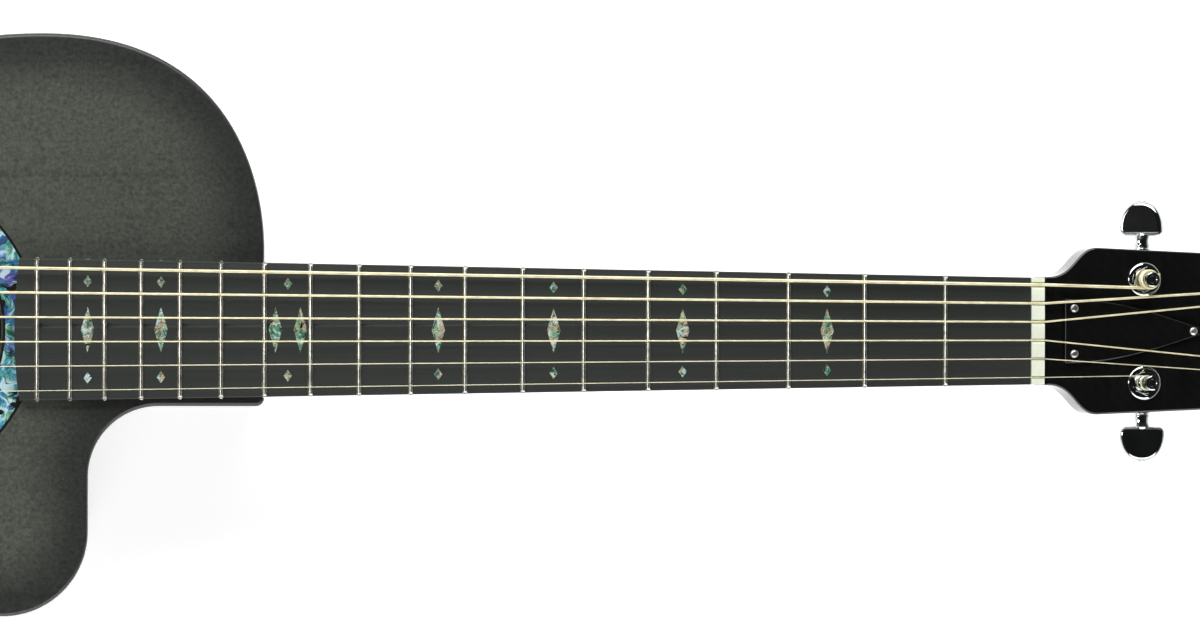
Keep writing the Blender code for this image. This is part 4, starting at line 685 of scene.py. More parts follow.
def edit(piece, kind="FACE", everything=True):
    """Edit mode on a piece, with all or none of it selected."""
    begin(piece)
    bpy.ops.object.mode_set(mode="EDIT")
    bpy.ops.mesh.select_mode(type=kind)
    bpy.ops.mesh.select_all(action="SELECT" if everything else "DESELECT")


def pick(piece, kind, test):
    """Selects the corners, edges or faces of a piece in edit mode that pass a test."""
    bpy.ops.mesh.select_mode(type=kind)
    bpy.ops.mesh.select_all(action="DESELECT")
    shape = bmesh.from_edit_mesh(piece.data)
    shape.normal_update()
    items = {"VERT": shape.verts, "EDGE": shape.edges, "FACE": shape.faces}[kind]
    for item in items:
        if test(item):
            item.select_set(True)
    bmesh.update_edit_mesh(piece.data)


def outward(piece):
    edit(piece)
    bpy.ops.mesh.normals_make_consistent(inside=False)
    begin()


def level(piece):
    """Keeps wide flat faces flat in the shading next to their rounded edges."""
    begin(piece)
    bpy.ops.object.modifier_add(type="WEIGHTED_NORMAL")
    piece.modifiers[-1].keep_sharp = True
    bpy.ops.object.modifier_apply(modifier=piece.modifiers[-1].name)
    begin()


def drop(*pieces):
    """Removes pieces that were only copied from or cut with."""
    for piece in pieces:
        bpy.data.objects.remove(piece, do_unlink=True)


def linked(name, mesh):
    """A new piece in the scene from a mesh."""
    piece = bpy.data.objects.new(name, mesh)
    bpy.context.scene.collection.objects.link(piece)
    return piece


def built(name, shape):
    """A piece from a shape drawn face by face, with its faces turned outward."""
    bmesh.ops.recalc_face_normals(shape, faces=shape.faces)
    mesh = bpy.data.meshes.new(name)
    shape.to_mesh(mesh)
    shape.free()
    return linked(name, mesh)


def named(name):
    piece = bpy.context.active_object
    piece.name = name
    piece.data.name = name
    return piece


def turned(name, profile, sides=32):
    """A round piece drawn up from a disc, ring by ring, along (radius, height) pairs."""
    begin()
    radius, height = profile[0]
    bpy.ops.mesh.primitive_circle_add(vertices=sides, radius=radius, fill_type="NGON")
    piece = named(name)
    edit(piece)
    bpy.ops.transform.translate(value=(0, 0, height))
    for wide, high in profile[1:]:
        bpy.ops.mesh.extrude_region_move(TRANSFORM_OT_translate={"value": (0, 0, high - height)})
        bpy.ops.transform.resize(value=(wide / radius, wide / radius, 1))
        radius, height = wide, high
    outward(piece)
    return piece


def annulus(name, inner, outer, low, high, sides=128):
    """A flat ring drawn outward from a circle and then up."""
    begin()
    bpy.ops.mesh.primitive_circle_add(vertices=sides, radius=inner, fill_type="NOTHING")
    piece = named(name)
    edit(piece, "EDGE")
    bpy.ops.transform.translate(value=(0, 0, low))
    bpy.ops.mesh.extrude_edges_move(TRANSFORM_OT_translate={"value": (0, 0, 0)})
    bpy.ops.transform.resize(value=(outer / inner, outer / inner, 1))
    edit(piece)
    bpy.ops.mesh.extrude_region_move(TRANSFORM_OT_translate={"value": (0, 0, high - low)})
    outward(piece)
    return piece


def slab(name, outline, low, high, rim=0.0, steps=3, both=True):
    """A plate drawn up from its outline, with its rim rounded."""
    begin()
    bpy.ops.mesh.primitive_circle_add(vertices=len(outline), radius=1.0, fill_type="NGON")
    piece = named(name)
    for corner, point in zip(piece.data.vertices, outline):
        corner.co = (point[0], point[1], low)
    edit(piece)
    bpy.ops.mesh.extrude_region_move(TRANSFORM_OT_translate={"value": (0, 0, high - low)})
    if rim:
        def on_rim(edge):
            heights = [corner.co.z for corner in edge.verts]
            at_top = min(heights) > high - SAME_PLACE
            return at_top or (both and max(heights) < low + SAME_PLACE)

        pick(piece, "EDGE", on_rim)
        bpy.ops.mesh.bevel(offset=rim, segments=steps, affect="EDGES", clamp_overlap=False)
    outward(piece)
    return piece


def block(name, low, high, rim=0.0, steps=3):
    """A box between two corners, with all its edges rounded."""
    begin()
    bpy.ops.mesh.primitive_cube_add(size=1.0)
    piece = named(name)
    size = Vector(high) - Vector(low)
    middle = (Vector(high) + Vector(low)) / 2
    edit(piece)
    bpy.ops.transform.resize(value=size)
    bpy.ops.transform.translate(value=middle)
    if rim:
        bpy.ops.mesh.bevel(offset=rim, segments=steps, affect="EDGES", clamp_overlap=False)
    outward(piece)
    return piece


def sliced(piece, place, normal):
    """Cuts away what lies beyond a plane and closes the cut."""
    edit(piece)
    bpy.ops.mesh.bisect(
        plane_co=place, plane_no=normal, use_fill=True, clear_outer=True, clear_inner=False, threshold=SAME_PLACE
    )


def crowned(name, x0, x1, half, low, high, steps=24):
    """A slab whose top and bottom follow the fingerboard's radius, spun from its middle section."""
    begin()
    bpy.ops.mesh.primitive_plane_add(size=1.0)
    piece = named(name)
    section = ((x0, low), (x1, low), (x0, high), (x1, high))
    for corner, (x, z) in zip(piece.data.vertices, section):
        corner.co = (x, 0, z)
    return spun(piece, half, steps)


def spun(piece, half, steps):
    """Spins a section that stands on the centre line to both sides, round the fingerboard's axis."""
    centre = Vector((0, 0, BOARD_TOP - BOARD_RADIUS))
    angle = half / BOARD_RADIUS
    turn = Matrix.Translation(centre) @ Matrix.Rotation(angle, 4, "X") @ Matrix.Translation(-centre)
    piece.data.transform(turn)
    edit(piece)
    bpy.ops.mesh.spin(steps=steps, angle=2 * angle, center=centre, axis=(1, 0, 0))
    edit(piece)
    bpy.ops.mesh.remove_doubles(threshold=SAME_PLACE)
    outward(piece)
    if max(corner.co.y for corner in piece.data.vertices) < 0.5 * half:
        raise RuntimeError("The spin went the wrong way round.")
    return piece


def skin(name, rings, closed=True):
    """A skin through rings of points, with its ends closed."""
    shape = bmesh.new()
    rows = [[shape.verts.new(point) for point in ring] for ring in rings]
    count = len(rows[0])
    for low, high in zip(rows, rows[1:]):
        for i in range(count):
            j = (i + 1) % count
            shape.faces.new((low[i], low[j], high[j], high[i]))
    if closed:
        shape.faces.new(rows[0][::-1])
        shape.faces.new(rows[-1])
    return built(name, shape)


def cable(name, route, radius, sides=12):
    """A round string or lead along a route, with its length kept as the map's second coordinate."""
    shape = bmesh.new()
    chart = shape.loops.layers.uv.new("UVMap")
    rows, lengths = [], []
    side = None
    done = 0.0
    for i, here in enumerate(route):
        before = route[max(i - 1, 0)]
        after = route[min(i + 1, len(route) - 1)]
        ahead = (after - before).normalized()
        if side is None:
            side = ahead.orthogonal().normalized()
        side = (side - ahead * side.dot(ahead)).normalized()
        other = ahead.cross(side)
        done += (here - before).length
        ring = []
        for k in range(sides):
            angle = math.tau * k / sides
            ring.append(shape.verts.new(here + (side * math.cos(angle) + other * math.sin(angle)) * radius))
        rows.append(ring)
        lengths.append(done)
    for row, (low, high) in enumerate(zip(rows, rows[1:])):
        for k in range(sides):
            j = (k + 1) % sides
            face = shape.faces.new((low[k], low[j], high[j], high[k]))
            share = (k / sides, (k + 1) / sides)
            spots = ((share[0], 0), (share[1], 0), (share[1], 1), (share[0], 1))
            for loop, (u, end) in zip(face.loops, spots):
                loop[chart].uv = (u, lengths[row + end])
    shape.faces.new(rows[0][::-1])
    shape.faces.new(rows[-1])
    return built(name, shape)


def copied(piece, name, matrix=None):
    """A copy of a piece with its own mesh."""
    begin(piece)
    bpy.ops.object.duplicate(linked=False)
    twin = named(name)
    if matrix is not None:
        twin.data.transform(matrix)
    return twin


def packed_copy(node, name):
    """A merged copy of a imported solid, in the guitar's own frame."""
    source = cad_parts[node]
    mesh = source.data.copy()
    mesh.transform(LAY.inverted() @ source.matrix_world)
    piece = linked(name, mesh)
    edit(piece)
    bpy.ops.mesh.remove_doubles(threshold=1e-5)
    bpy.ops.mesh.dissolve_limited(angle_limit=math.radians(0.4))
    begin()
    return piece


def rounded(piece, offset, angle=28):
    """Rounds the sharp edges of a piece."""
    edit(piece, "EDGE", False)
    bpy.ops.mesh.edges_select_sharp(sharpness=math.radians(angle))
    bpy.ops.mesh.bevel(offset=offset, segments=2, affect="EDGES", clamp_overlap=True)
    begin()
    return piece


def joined(name, *pieces):
    begin(*pieces)
    bpy.ops.object.join()
    return named(name)


def carved(piece, *cutters):
    """Cuts other shapes out of a piece and removes them."""
    for cutter in cutters:
        begin(piece)
        modifier = piece.modifiers.new("Carve", "BOOLEAN")
        modifier.operation = "DIFFERENCE"
        modifier.solver = "EXACT"
        modifier.object = cutter
        bpy.ops.object.modifier_apply(modifier=modifier.name)
        drop(cutter)
    return piece


def settle(piece, finish, body="guitar_frame", stands_for=(), matrix=None, smooth=35):
    """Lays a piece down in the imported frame, finishes it and gives it to its body."""
    begin()
    piece.data.transform(LAY @ matrix if matrix is not None else LAY)
    piece.data.materials.clear()
    piece.data.materials.append(Finish.made[finish])
    begin(piece)
    bpy.ops.object.shade_smooth_by_angle(angle=math.radians(smooth))
    level(piece)
    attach(piece, body)
    if stands_for:
        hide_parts(*stands_for)
    return piece


def refinish(node, finish):
    """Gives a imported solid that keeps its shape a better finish."""
    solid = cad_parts[node]
    for slot in solid.material_slots:
        slot.material = Finish.made[finish]


def curve_between(start, lead, trail, end, steps):
    """Points of a cubic curve without its last point. lead and trail are its handles' offsets."""
    a, d = Vector(start), Vector(end)
    b, c = a + Vector(lead), d + Vector(trail)
    points = []
    for k in range(steps):
        t = k / steps
        s = 1 - t
        points.append(a * s**3 + b * 3 * s * s * t + c * 3 * s * t * t + d * t**3)
    return points


def arc(centre, radius, start, end, steps):
    """Points of an arc in degrees, without its last point."""
    middle = Vector(centre)
    angles = [math.radians(start + (end - start) * k / steps) for k in range(steps)]
    return [middle + radius * Vector((math.cos(angle), math.sin(angle))) for angle in angles]


def lower_flank(side):
    """One side of the lower bout from the waist to just before the tail's middle."""
    waist = (-WAIST_AT, side * WAIST_HALF)
    bout = (-LOWER_BOUT_AT, side * LOWER_BOUT_HALF)
    points = curve_between(waist, (-LOWER_EASE, 0), (LOWER_EASE, 0), bout, 40)
    return points + curve_between(bout, (-LOWER_EASE, 0), (0, side * TAIL_EASE), (-BODY_LENGTH, 0), 48)


def body_outline():
    """The body's plan, counterclockwise from the neck joint's bass corner."""
    bout = (-UPPER_BOUT_AT, UPPER_BOUT_HALF)
    waist = (-WAIST_AT, WAIST_HALF)
    points = curve_between((0, JOINT_HALF + SHOULDER_START), (0, SHOULDER_LEAD), (SHOULDER_TRAIL, 0), bout, 48)
    points += curve_between(bout, (-WAIST_EASE, 0), (WAIST_EASE, 0), waist, 32)
    points += lower_flank(1) + [Vector((-BODY_LENGTH, 0))] + lower_flank(-1)[:0:-1]
    horn = (-HORN_AT, -HORN_HALF)
    points += curve_between((-WAIST_AT, -WAIST_HALF), (WAIST_EASE, 0), (-WAIST_EASE, 0), horn, 28)
    points += arc((-HORN_AT, -HORN_HALF + HORN_RADIUS), HORN_RADIUS, -90, 0, 32)
    ledge = -JOINT_HALF - CUTAWAY_LEDGE
    scoop_x = -HORN_AT + HORN_RADIUS + CUTAWAY_RADIUS
    points += [Vector((-HORN_AT + HORN_RADIUS, -HORN_HALF + HORN_RADIUS))]
    points += arc((scoop_x, ledge - CUTAWAY_RADIUS), CUTAWAY_RADIUS, 180, 90, 32)
    points += [Vector((scoop_x, ledge))]
    return points + arc((-JOINT_CORNER, ledge + JOINT_CORNER), JOINT_CORNER, -90, 4, 9)


def inset(points, distance):
    """An outline moved inward by a distance that is less than its least radius."""
    moved = []
    for before, here, after in zip(points[-1:] + points[:-1], points, points[1:] + points[:1]):
        first = (here - before).orthogonal().normalized()
        second = (after - here).orthogonal().normalized()
        moved.append(here + (first + second) * (distance / (1 + first.dot(second))))
    return moved


def back_height(x, rise):
    """Height of the back's flat at a place, raised by a distance."""
    return -DEPTH_AT_NECK + TAPER * x + rise


def side_matrix(distance, depth):
    """Frame on the bass side's outer face: Z out of the side, Y away from the top, X toward the tail."""
    outline = body_outline()
    for start, end in zip(outline, outline[1:]):
        if start.y > 0 and end.x <= -distance <= start.x and start.x > end.x:
            place = start.lerp(end, (start.x + distance) / (start.x - end.x))
            along = (end - start).normalized()
            break
    x, y, z = Vector((along.x, along.y, 0)), Vector((0, 0, -1)), Vector((-along.y, along.x, 0))
    if z.y < 0:
        z = -z
    turn = Matrix((y.cross(z), y, z)).transposed().to_4x4()
    return at(place.x, place.y, -depth) @ turn


def eased(route, rounds):
    """A route whose tightest bends are let out a little, with its ends kept."""
    for _ in range(rounds):
        inner = [(a + b * 2 + c) / 4 for a, b, c in zip(route, route[1:], route[2:])]
        route = route[:1] + inner + route[-1:]
    return route


def smooth_route(places, spacing):
    """Even points on a smooth curve through a route's own places."""
    nodes = [Vector(place) for place in places]
    nodes = [nodes[0] * 2 - nodes[1]] + nodes + [nodes[-1] * 2 - nodes[-2]]
    points = []
    for a, b, c, d in zip(nodes, nodes[1:], nodes[2:], nodes[3:]):
        steps = max(2, round((c - b).length / spacing))
        for k in range(steps):
            t = k / steps
            bend = (2 * a - 5 * b + 4 * c - d) * t * t + (3 * b - a - 3 * c + d) * t**3
            points.append(b + ((c - a) * t + bend) / 2)
    return points + [nodes[-2]]


class Girth:
    """The body's outline, on which places are looked up by how far round and how far in they are."""

    def __init__(self, points):
        self.points = points
        self.lengths = [0.0]
        for here, after in zip(points, points[1:] + points[:1]):
            self.lengths.append(self.lengths[-1] + (after - here).length)
        self.tree = kdtree.KDTree(len(points))
        for i, point in enumerate(points):
            self.tree.insert((*point, 0), i)
        self.tree.balance()

    def find(self, place):
        """How far round the outline a place is, and how far from it."""
        here = Vector(place[:2])
        nearest = self.tree.find((*here, 0))[1]
        found = []
        for i in (nearest - 1, nearest):
            start, end = self.points[i], self.points[(i + 1) % len(self.points)]
            along = end - start
            share = max(0.0, min(1.0, (here - start).dot(along) / along.length_squared))
            found.append(((start + along * share - here).length, self.lengths[i] + along.length * share))
        distance, length = min(found)
        return length, distance


def board_half(x):
    """Half the fingerboard's width at a place along the neck."""
    return JOINT_HALF - (BOARD_WIDTH_JOINT - BOARD_WIDTH_NUT) / 2 / NUT_X * x


def board_crown(y):
    """How far the fingerboard's radius drops at a distance from the centre line."""
    return y * y / (2 * BOARD_RADIUS)


def marker_place(number):
    """Place of a marker along the neck, halfway between two frets."""
    return NUT_X - (fret_distance(number) + fret_distance(number - 1)) / 2


def marker_shifts(number, apart):
    """Shifts of a fret's marks along the neck: two marks at the octave, else one."""
    return (-apart, apart) if number == BODY_FRET else (0.0,)


def string_place(index, spread):
    """Sideways place of a string, from the first at the treble side to the sixth."""
    return spread * (index / (STRING_COUNT - 1) - 0.5)


def saddle_place(y):
    """Place of the slanted saddle's middle along the body at a distance from the centre line."""
    return SADDLE_X - math.tan(SADDLE_SLANT) * y


def head_half(x):
    """Half the headstock's width behind its flare."""
    return HEAD_FLARE_HALF - HEAD_TAPER * (x - HEAD_FLARE_AT)


def post_place(index):
    """Place of a string's tuning post on the headstock's face, and its side."""
    side = -1 if index < STRING_COUNT // 2 else 1
    x = FIRST_TUNER_AT + TUNER_SPACING * min(index, STRING_COUNT - 1 - index)
    return Vector((x, side * (head_half(x) - EDGE_TO_POST))), side


def screw(name, radius, height):
    """A round-headed screw with a cross recess."""
    profile = [(radius, 0.0), (radius, height * 0.25)]
    for k in range(1, 6):
        angle = math.pi / 2 * k / 6
        profile.append((radius * math.cos(angle) ** 0.8, height * (0.25 + 0.75 * math.sin(angle))))
    piece = turned(name, profile, 24)
    reach = radius * 0.66
    arm = radius * 0.15
    low, high = height * 0.2, height * 2
    first = block("arm", (-reach, -arm, low), (reach, arm, high))
    second = block("arm", (-arm, -reach, low), (arm, reach, high))
    return carved(piece, first, second)


class GuitarSizes(bpy.types.PropertyGroup):
    fret_height: bpy.props.FloatProperty(
        name="Fret height", description="Height of a fret over the fingerboard", default=FRET_HEIGHT, unit="LENGTH"
    )
    fret_width: bpy.props.FloatProperty(
        name="Fret width", description="Width of a fret's crown", default=FRET_WIDTH, unit="LENGTH"
    )
    marker_length: bpy.props.FloatProperty(
        name="Marker length", description="Length of a marker across the neck", default=0.0190, unit="LENGTH"
    )
    marker_width: bpy.props.FloatProperty(
        name="Marker width", description="Width of a marker along the neck", default=0.0056, unit="LENGTH"
    )
    line_width: bpy.props.FloatProperty(
        name="Line width", description="Width of the black lines round the shell ring", default=0.0011, unit="LENGTH"
    )
    cloth_cell: bpy.props.FloatProperty(
        name="Top cell", description="Spacing of the corners over the top plate", default=0.007, unit="LENGTH"
    )
    washer_radius: bpy.props.FloatProperty(
        name="Washer radius", description="Radius of a machine head's washer", default=WASHER_RADIUS, unit="LENGTH"
    )


class GuitarColours(bpy.types.PropertyGroup):
    top_middle: bpy.props.FloatVectorProperty(
        name="Top", description="Middle of the top", default=(0.055, 0.062, 0.048), subtype="COLOR"
    )
    # Colour of the top at its edge, for a dark band that is mostly painted shade.
    top_burst_and_shade: bpy.props.FloatVectorProperty(
        name="Top edge", description="Top near its edge", default=(0.015, 0.0175, 0.0145), subtype="COLOR"
    )
    board: bpy.props.FloatVectorProperty(
        name="Fingerboard", description="Fingerboard", default=(0.0175, 0.0215, 0.0180), subtype="COLOR"
    )
    gloss: bpy.props.FloatVectorProperty(
        name="Neck", description="Neck and headstock", default=(0.0030, 0.0034, 0.0030), subtype="COLOR"
    )
    winding: bpy.props.FloatVectorProperty(
        name="Winding", description="Wound strings", default=(1.00, 0.95, 0.68), subtype="COLOR"
    )
    bone: bpy.props.FloatVectorProperty(
        name="Nut and saddle", description="Nut and saddle", default=(0.84, 0.92, 0.70), subtype="COLOR"
    )


class GUITAR_OT_stage(bpy.types.Operator):
    """Sets the camera, the pale floor, the white surroundings and the lamps"""

    bl_idname = "guitar.stage"
    bl_label = "Stage"

    def execute(self, context):
        begin()
        bpy.ops.object.camera_add()
        camera = context.active_object
        camera.name = "camera"
        camera.data.lens = CAMERA_LENS
        camera.data.sensor_width = CAMERA_SENSOR
        camera.data.clip_end = CAMERA_REACH
        place = at(*CAMERA_PLACE) @ Matrix.Rotation(CAMERA_LEAN, 4, "Y") @ rotation("Z", CAMERA_ROLL)
        camera.matrix_world = LAY @ place
        context.scene.camera = camera
        context.scene.view_settings.view_transform = "Standard"
        self.make_floor()
        self.make_world(context)
        for lamp in LAMPS:
            self.add_lamp(*lamp)
        return {"FINISHED"}

    def make_floor(self):
        begin()
        bpy.ops.mesh.primitive_plane_add(size=FLOOR_SIZE, location=(0, 0, -FLOOR_BELOW))
        floor = named("floor")
        finish = Finish("pale_floor", roughness=0.85)
        grain = finish.noise(finish.place(), 30.0, 3.0)
        finish.wear(finish.toned((0.86, 0.86, 0.86), 0.99 + grain * 0.02), 0.85)
        rays = self.seen_rays(finish)
        glow = finish.node("ShaderNodeEmission", None, {"Color": (1, 1, 1, 1), "Strength": FLOOR_GLOW})
        white = finish.node("ShaderNodeEmission", None, {"Color": (1, 1, 1, 1), "Strength": 1.0})
        both = finish.node("ShaderNodeAddShader", None, {0: finish.shader.outputs[0], 1: glow.outputs[0]})
        length = finish.node("ShaderNodeVectorMath", {"operation": "LENGTH"}, {0: finish.place()}).outputs["Value"]
        far = finish.between(Amount(finish, length), *FLOOR_WHITE)
        seen = finish.node("ShaderNodeMixShader", None, {0: far, 1: both.outputs[0], 2: white.outputs[0]})
        mix = finish.node("ShaderNodeMixShader", None, {0: rays, 1: finish.shader.outputs[0], 2: seen.outputs[0]})
        finish.tree.links.new(mix.outputs[0], finish.tree.nodes["Material Output"].inputs["Surface"])
        floor.data.materials.append(finish.material)

    def seen_rays(self, finish):
        path = finish.node("ShaderNodeLightPath")
        seen = Amount(finish, path.outputs["Is Camera Ray"]) + Amount(finish, path.outputs["Is Glossy Ray"])
        seen = seen + Amount(finish, path.outputs["Is Transmission Ray"])
        return finish.maths("MINIMUM", seen, 1.0)

    def make_world(self, context):
        world = bpy.data.worlds.new("surroundings")
        context.scene.world = world
        world.use_nodes = True
        tree = world.node_tree
        path = tree.nodes.new("ShaderNodeLightPath")
        where = tree.nodes.new("ShaderNodeTexCoord")
        split = tree.nodes.new("ShaderNodeSeparateXYZ")
        ramp = tree.nodes.new("ShaderNodeValToRGB")
        set_stops(ramp.color_ramp, SKY_STOPS)
        mix = tree.nodes.new("ShaderNodeMix")
        mix.data_type = "RGBA"
        mix.inputs[7].default_value = (1, 1, 1, 1)
        tree.links.new(where.outputs["Generated"], split.inputs[0])
        tree.links.new(split.outputs[2], ramp.inputs[0])
        tree.links.new(ramp.outputs[0], mix.inputs[6])
        tree.links.new(path.outputs["Is Camera Ray"], mix.inputs[0])
        tree.links.new(mix.outputs[2], tree.nodes["Background"].inputs[0])
        tree.nodes["Background"].inputs[1].default_value = 1.0

    def add_lamp(self, name, place, size, power):
        bpy.ops.object.light_add(type="AREA", location=place)
        lamp = bpy.context.active_object
        lamp.name = name
        lamp.data.shape = "RECTANGLE"
        lamp.data.size, lamp.data.size_y = size
        lamp.data.energy = power
        lamp.rotation_euler = (-Vector(place)).to_track_quat("-Z", "Y").to_euler()


class GUITAR_OT_body(bpy.types.Operator):
    """Finishes the top plate, the sides and the back"""

    bl_idname = "guitar.body"
    bl_label = "Body"

    def execute(self, context):
        outline = body_outline()
        girth = Girth(outline)
        self.make_top(outline, girth, context.scene.guitar_sizes.cloth_cell)
        self.make_sides(outline, girth)
        self.make_back(outline)
        return {"FINISHED"}

    def make_top(self, outline, girth, cell):
        piece = slab("top_plate", outline, -TOP_THICKNESS, 0.0, TOP_ROUNDING, 6, both=False)
        hole = turned("hole", ((SOUNDHOLE_RADIUS, -CUT_REACH), (SOUNDHOLE_RADIUS, CUT_REACH)), 128)
        groove = annulus("groove", ROSETTE_INNER - GAP, ROSETTE_OUTER + GAP, -ROSETTE_THICKNESS - GAP, CUT_REACH)
        for cutter in (hole, groove):
            cutter.data.transform(at(-SOUNDHOLE_AT, 0, 0))
        carved(piece, hole, groove)
        edit(piece)
        for axis in (0, 1):
            values = [corner.co[axis] for corner in piece.data.vertices]
            for k in range(1, int((max(values) - min(values)) / cell) + 1):
                place, normal = [0, 0, 0], [0, 0, 0]
                place[axis] = min(values) + cell * k
                normal[axis] = 1
                bpy.ops.mesh.select_all(action="SELECT")
                bpy.ops.mesh.bisect(plane_co=place, plane_no=normal, threshold=SAME_PLACE)
        begin()
        reach = piece.data.attributes.new("edge_reach", "FLOAT", "POINT")
        for corner in piece.data.vertices:
            reach.data[corner.index].value = girth.find(corner.co)[1]
        settle(piece, "carbon_top", stands_for=("soundboard",), smooth=50)

    def ring(self, outline, distance, height):
        points = inset(outline, distance) if distance else outline
        return [(p.x, p.y, height(p.x) if callable(height) else height) for p in points]

    def make_sides(self, outline, girth):
        inner = SIDE_THICKNESS
        lined = SIDE_THICKNESS + LINING_WIDTH
        floor = BACK_ARCH + BACK_THICKNESS + GAP
        low_lining = floor + LINING_HEIGHT
        high_lining = RIM_TOP - LINING_HEIGHT
        steps = (
            (0.0, lambda x: back_height(x, floor)),
            (0.0, RIM_TOP),
            (lined, RIM_TOP),
            (lined, high_lining),
            (inner, high_lining),
            (inner, lambda x: back_height(x, low_lining)),
            (lined, lambda x: back_height(x, low_lining)),
            (lined, lambda x: back_height(x, floor)),
        )
        rings = [self.ring(outline, distance, height) for distance, height in steps]
        piece = skin("body_sides", rings + rings[:1], closed=False)
        edit(piece)
        bpy.ops.mesh.remove_doubles(threshold=SAME_PLACE)
        outward(piece)
        low, high = -PREAMP_TOP - PREAMP_HEIGHT - GAP, -PREAMP_TOP + GAP
        window = block("window", (-PREAMP_END - GAP, WINDOW_FROM, low), (-PREAMP_START + GAP, WINDOW_TO, high))
        jack_hole = turned("jack_hole", ((JACK_RADIUS + GAP, -CUT_REACH), (JACK_RADIUS + GAP, 2 * CUT_REACH)), 32)
        jack_hole.data.transform(JACK_PLACE)
        carved(piece, window, jack_hole)
        round_it = piece.data.attributes.new("girth", "FLOAT", "POINT")
        for corner in piece.data.vertices:
            round_it.data[corner.index].value = girth.find(corner.co)[0]
        settle(piece, "carbon_side", stands_for=("sides",), smooth=40)

    def make_back(self, outline):
        centre = Vector((-BACK_CENTRE_AT, 0))
        shares = [BACK_FLAT_SHARE + (1 - BACK_FLAT_SHARE) * k / BACK_STEPS for k in range(BACK_STEPS + 1)]

        def ring(share, rise):
            bend = (share - BACK_FLAT_SHARE) / (1 - BACK_FLAT_SHARE)
            lift = BACK_ARCH * bend**BACK_CURVE + rise
            points = [centre + (p - centre) * share for p in outline]
            return [(p.x, p.y, back_height(p.x, lift)) for p in points]

        inside = shares[:: -BACK_STEPS // 2]
        rings = [ring(share, 0.0) for share in shares] + [ring(share, BACK_THICKNESS) for share in inside]
        piece = skin("back_plate", rings)
        rim = range(BACK_STEPS * len(outline), (BACK_STEPS + 1) * len(outline))
        edit(piece, "EDGE", False)
        pick(piece, "EDGE", lambda edge: all(corner.index in rim for corner in edge.verts))
        bpy.ops.mesh.bevel(offset=BACK_RIM_ROUNDING, segments=4, affect="EDGES", clamp_overlap=False)
        settle(piece, "carbon_back", stands_for=("back",), smooth=50)


class GUITAR_OT_rosette(bpy.types.Operator):
    """Lays the shell ring and its black lines round the sound hole"""

    bl_idname = "guitar.rosette"
    bl_label = "Rosette"

    def execute(self, context):
        line = context.scene.guitar_sizes.line_width
        place = at(-SOUNDHOLE_AT, 0, 0)
        low = -ROSETTE_THICKNESS
        inner = ROSETTE_INNER - GAP + line
        outer = ROSETTE_OUTER + GAP - line
        shell = annulus("shell_ring", inner, outer, low, SHELL_PROUD)
        settle(shell, "shell", stands_for=("rosette",), matrix=place)
        for name, start in (("inner_line", inner - line), ("outer_line", outer)):
            ring = annulus(name, start, start + line, low, LINE_PROUD)
            settle(ring, "black_line", matrix=place)
        return {"FINISHED"}


class GUITAR_OT_neck(bpy.types.Operator):
    """Draws the neck's shaft, heel and headstock"""

    bl_idname = "guitar.neck"
    bl_label = "Neck"

    def execute(self, context):
        shaft = skin("shaft", [self.section(k / NECK_STEPS) for k in range(NECK_STEPS + 1)])
        head = slab("head", self.head_outline(), -HEAD_THICKNESS, 0.0, HEAD_ROUNDING, 3)
        head.data.transform(HEAD)
        neck = joined("neck_and_headstock", shaft, head)
        settle(neck, "gloss_black", stands_for=("neck",), smooth=45)
        return {"FINISHED"}

    def section(self, share):
        """Cross-section of the neck: flat on top, round below."""
        x = GAP + (NUT_X + HEAD_OVERLAP - GAP) * share**NECK_STEP_CURVE
        taper = NECK_DEPTH_HEEL + (NECK_DEPTH_NUT - NECK_DEPTH_HEEL) * min(x / NUT_X, 1.0)
        swell = max(0.0, 1 - x / HEEL_LENGTH) ** HEEL_FALL
        depth = taper + (HEEL_DEPTH - taper) * swell
        half = board_half(min(x, NUT_X)) - GAP
        ring = [(x, half, 0.0 if x < NUT_X - GAP else -NUT_SEAT)]
        for k in range(1, NECK_SIDES):
            angle = math.pi * k / NECK_SIDES
            y = half * math.copysign(abs(math.cos(angle)) ** NECK_ROUNDNESS, math.cos(angle))
            ring.append((x, y, -depth * math.sin(angle) ** NECK_ROUNDNESS))
        return ring + [(x, -half, ring[0][2])]

    def head_outline(self):
        start_half = BOARD_WIDTH_NUT / 2 + GAP
        reach = HEAD_FLARE_AT / 2
        shoulder_x = HEAD_LENGTH - HEAD_CREST
        shoulder = (shoulder_x, head_half(shoulder_x))
        flare = (HEAD_FLARE_AT, HEAD_FLARE_HALF)
        upper = [Vector((0, start_half))]
        trail = (-reach * HEAD_CURVE_SHARE, reach * HEAD_CURVE_SHARE * HEAD_TAPER)
        upper += curve_between((HEAD_START_FLAT, start_half), (reach, 0), trail, flare, 20)
        upper.append(Vector(flare))
        lead = (HEAD_CREST * HEAD_CURVE_SHARE, -HEAD_CREST * HEAD_CURVE_SHARE * HEAD_TAPER)
        upper += curve_between(shoulder, lead, (0, shoulder[1] * HEAD_TIP_SHARE), (HEAD_LENGTH, 0), 20)
        return [Vector((p.x, -p.y)) for p in upper] + [Vector((HEAD_LENGTH, 0))] + upper[::-1]


